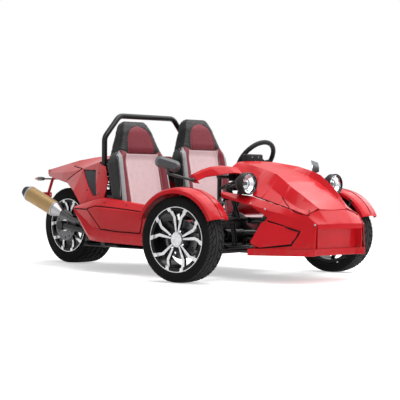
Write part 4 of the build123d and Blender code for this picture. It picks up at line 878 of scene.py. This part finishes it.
# %% Lamp bezels, bulb holders and rings
lamp_places = [(Vector((1.072, side * 0.408, 0.596)), (1, 0, 0)) for _, side in SIDES]
bezel_profile = [(0.0600, -0.006), (0.0605, 0.000), (0.0625, 0.0022), (0.0660, 0.0018), (0.0678, -0.001),
                 (0.0680, -0.012), (0.0662, -0.014)]
holder_profile = [(0, -0.026), (0.006, -0.027), (0.0105, -0.031), (0.0115, -0.040), (0.0115, -0.048)]
ring_profile = [(0.027, -0.036), (0.029, -0.033), (0.031, -0.036), (0.029, -0.040), (0.027, -0.036)]
turned_pieces("lamp_bezels", bezel_profile, lamp_places, enamel)
turned_pieces("bulb_holders", holder_profile, lamp_places, casting)
turned_pieces("lamp_rings", ring_profile, lamp_places, casting)

# %% [markdown]
# Four nuts hold each front wheel to its hub, among the roots of the spokes. A nut's profile is spun in
# six steps only, which leaves the six flats for the spanner.

# %% Wheel nuts
NUT_CIRCLE, HUB_FACE, FIRST_NUT = 0.057, 0.0545, 59
nut_profile = [(0, 0.0140), (0.0050, 0.0136), (0.0078, 0.0112), (0.0088, 0.0090), (0.0088, -0.0005)]
ahead = Matrix.Rotation(STEER, 3, "Z") @ Vector((1, 0, 0))
for name, side in SIDES:
    outward, places = AXLE * side, []
    for turn in range(FIRST_NUT, FIRST_NUT + 360, 90):
        arm = ahead * math.cos(math.radians(turn)) + Vector((0, 0, 1)) * math.sin(math.radians(turn))
        places.append((spins[f"wheel_{name}_spin"] + outward * HUB_FACE + arm * NUT_CIRCLE, outward))
    turned_pieces(f"wheel_nuts_{name}", nut_profile, places, chrome, f"front_wheel_{name}", 6)

# %% [markdown]
# The exhaust can's ends are held by thin steel bands. A band is a turned ring, and it lies on the can's
# own line.

# %% Exhaust bands
CONE_LENGTH, CAP_LENGTH, BAND_INSET = 0.062, 0.046, 0.007
cone_tip, cap_tip = Vector((-0.772, -0.385, 0.379)), Vector((-1.111, -0.455, 0.533))
can_axis = (cap_tip - cone_tip).normalized()
can_front = cone_tip + can_axis * (CONE_LENGTH + BAND_INSET)
can_back = cap_tip - can_axis * (CAP_LENGTH + BAND_INSET)
band_profile = [(0.0545, -0.006), (0.0562, -0.006), (0.0562, 0.006), (0.0545, 0.006)]
band_places = [(can_front, can_axis), (can_back, can_axis)]
turned_pieces("can_bands", band_profile, band_places, steel)

# %% [markdown]
# A small instrument pod stands on the middle of the dash. Towards the nose it shows a plain moulded back
# with three screws, and towards the seats one round gauge. The pod is a cube whose edges are rounded by a
# bevel, and the gauge's rim is turned.

# %% Instrument pod
pod_size = Matrix.Diagonal((0.05, 0.156, 0.084, 1))
bm = bmesh.new()
bmesh.ops.create_cube(bm, size=1, matrix=Matrix.Translation((0.712, 0, 0.744)) @ pod_size)
bmesh.ops.bevel(bm, geom=bm.edges, offset=0.012, offset_type="OFFSET", affect="EDGES", segments=4,
                profile=0.5, material=-1)
fit(bm, "instrument_pod", plastic)
bm = bmesh.new()
for y, z in ((-0.030, 0.764), (0.030, 0.764), (0.0, 0.738)):
    bolt(bm, Vector((0.737, y, z)), Vector((1, 0, 0)), 0.005)
bmesh.ops.recalc_face_normals(bm, faces=bm.faces)
fit(bm, "pod_screws", steel)
gauge_place = [(Vector((0.687, 0, 0.748)), (-1, 0, 0))]
rim_profile = [(0.0255, -0.002), (0.0265, 0.004), (0.0300, 0.005), (0.0325, 0.003), (0.0330, -0.002)]
turned_pieces("gauge_rim", rim_profile, gauge_place, steel)
turned_pieces("gauge_face", [(0, 0.0016), (0.020, 0.0016), (0.0262, 0.0010)], gauge_place, enamel)

# %% [markdown]
# The camera stands where the photographer stood. Its place and its long lens were worked out from the wheels'
# rims and where the tyres touch the ground, so the picture's perspective agrees with the photograph's.

# %% Camera
yaw, pitch, roll = (math.radians(angle) for angle in (135.5436, -0.7456, 0.4194))
look = Vector((math.cos(yaw) * math.cos(pitch), math.sin(yaw) * math.cos(pitch), math.sin(pitch)))
level = look.cross(Vector((0, 0, 1))).normalized()
upright = level.cross(look)
right = level * math.cos(roll) + upright * math.sin(roll)
top = upright * math.cos(roll) - level * math.sin(roll)
camera = bpy.data.objects.new("camera", bpy.data.cameras.new("camera"))
camera.data.sensor_width = 36
camera.data.lens = 112.04
camera.matrix_world = Matrix((right, top, -look)).transposed().to_4x4()
camera.location = (6.2088, -5.8650, 0.5927)
bpy.context.collection.objects.link(camera)
bpy.context.scene.camera = camera
print("camera at", [round(value, 3) for value in camera.location])

# %% [markdown]
# The floor is a plain pale sheet. To the camera it is white where light falls on it freely, so it gives off a
# little light to camera, mirror and glass rays only; the shadow under the vehicle stays.

# %% Floor
bm = bmesh.new()
bmesh.ops.create_grid(bm, x_segments=2, y_segments=2, size=40)
floor = bpy.data.objects.new("floor", bpy.data.meshes.new("floor"))
bm.to_mesh(floor.data)
bm.free()
bpy.context.collection.objects.link(floor)
paper = Finish("pale_floor", Base_Color=(0.86, 0.86, 0.86), Roughness=0.9, Specular_IOR_Level=0.1)
rays = paper.node("ShaderNodeLightPath").socket.node.outputs
seen = paper.maths("MINIMUM", Term(paper, rays["Is Camera Ray"]) + Term(paper, rays["Is Glossy Ray"])
                   + Term(paper, rays["Is Transmission Ray"]), 1.0)
white = paper.node("ShaderNodeEmission", sockets={"Color": (1, 1, 1), "Strength": 0.5})
sheet = Term(paper, paper.shader.outputs[0])
glow = paper.node("ShaderNodeAddShader", sockets={0: sheet, 1: white})
ground = paper.node("ShaderNodeMixShader", sockets={0: seen, 1: sheet, 2: glow})
paper.tree.links.new(ground.socket, paper.tree.nodes["Material Output"].inputs["Surface"])
floor.data.materials.append(paper.material)
print("floor")

# %% [markdown]
# Soft light. The world is white to the camera and to mirrors, and a plain grey level for lighting. A wide
# panel overhead draws the long pale streaks on the bonnet, a second one brightens the far side and rims the
# seats, and a broad front light opens up the nose and the side that the camera sees.

# %% World and lamps
world = bpy.data.worlds.new("studio")
bpy.context.scene.world = world
world.use_nodes = True
tree = world.node_tree
sky = tree.nodes["Background"]
sky.inputs["Strength"].default_value = 0.28
plain = tree.nodes.new("ShaderNodeBackground")
path = tree.nodes.new("ShaderNodeLightPath")
straight = tree.nodes.new("ShaderNodeMath")
straight.operation = "MAXIMUM"
any_seen = tree.nodes.new("ShaderNodeMath")
any_seen.operation = "MAXIMUM"
blend = tree.nodes.new("ShaderNodeMixShader")
tree.links.new(path.outputs["Is Camera Ray"], straight.inputs[0])
tree.links.new(path.outputs["Is Transmission Ray"], straight.inputs[1])
tree.links.new(straight.outputs[0], any_seen.inputs[0])
tree.links.new(path.outputs["Is Glossy Ray"], any_seen.inputs[1])
tree.links.new(any_seen.outputs[0], blend.inputs[0])
tree.links.new(sky.outputs[0], blend.inputs[1])
tree.links.new(plain.outputs[0], blend.inputs[2])
tree.links.new(blend.outputs[0], tree.nodes["World Output"].inputs["Surface"])
sky.inputs["Color"].default_value = (1, 1, 1, 1)
plain.inputs["Color"].default_value = (1, 1, 1, 1)
lamps = (("overhead", (0.9, 0.4, 4.8), (0.9, 0.0, 0.3), 4.2, 230),
         ("window", (0.9, 4.4, 3.6), (1.0, 0.0, 0.4), 4.0, 110))
for name, place, aim, size, power in lamps:
    lamp = bpy.data.objects.new(name, bpy.data.lights.new(name, "AREA"))
    lamp.data.size = size
    lamp.data.energy = power
    lamp.location = place
    lamp.rotation_euler = (Vector(aim) - Vector(place)).to_track_quat("-Z", "Y").to_euler()
    bpy.context.collection.objects.link(lamp)
front = bpy.data.objects.new("front", bpy.data.lights.new("front", "SUN"))
front.data.energy, front.data.angle = 1.3, math.radians(50)
front.rotation_euler = Vector((-0.75, 0.12, -0.65)).to_track_quat("-Z", "Y").to_euler()
bpy.context.collection.objects.link(front)
bpy.context.scene.view_settings.view_transform = "Standard"
print("world,", len(lamps), "panels and the front light")
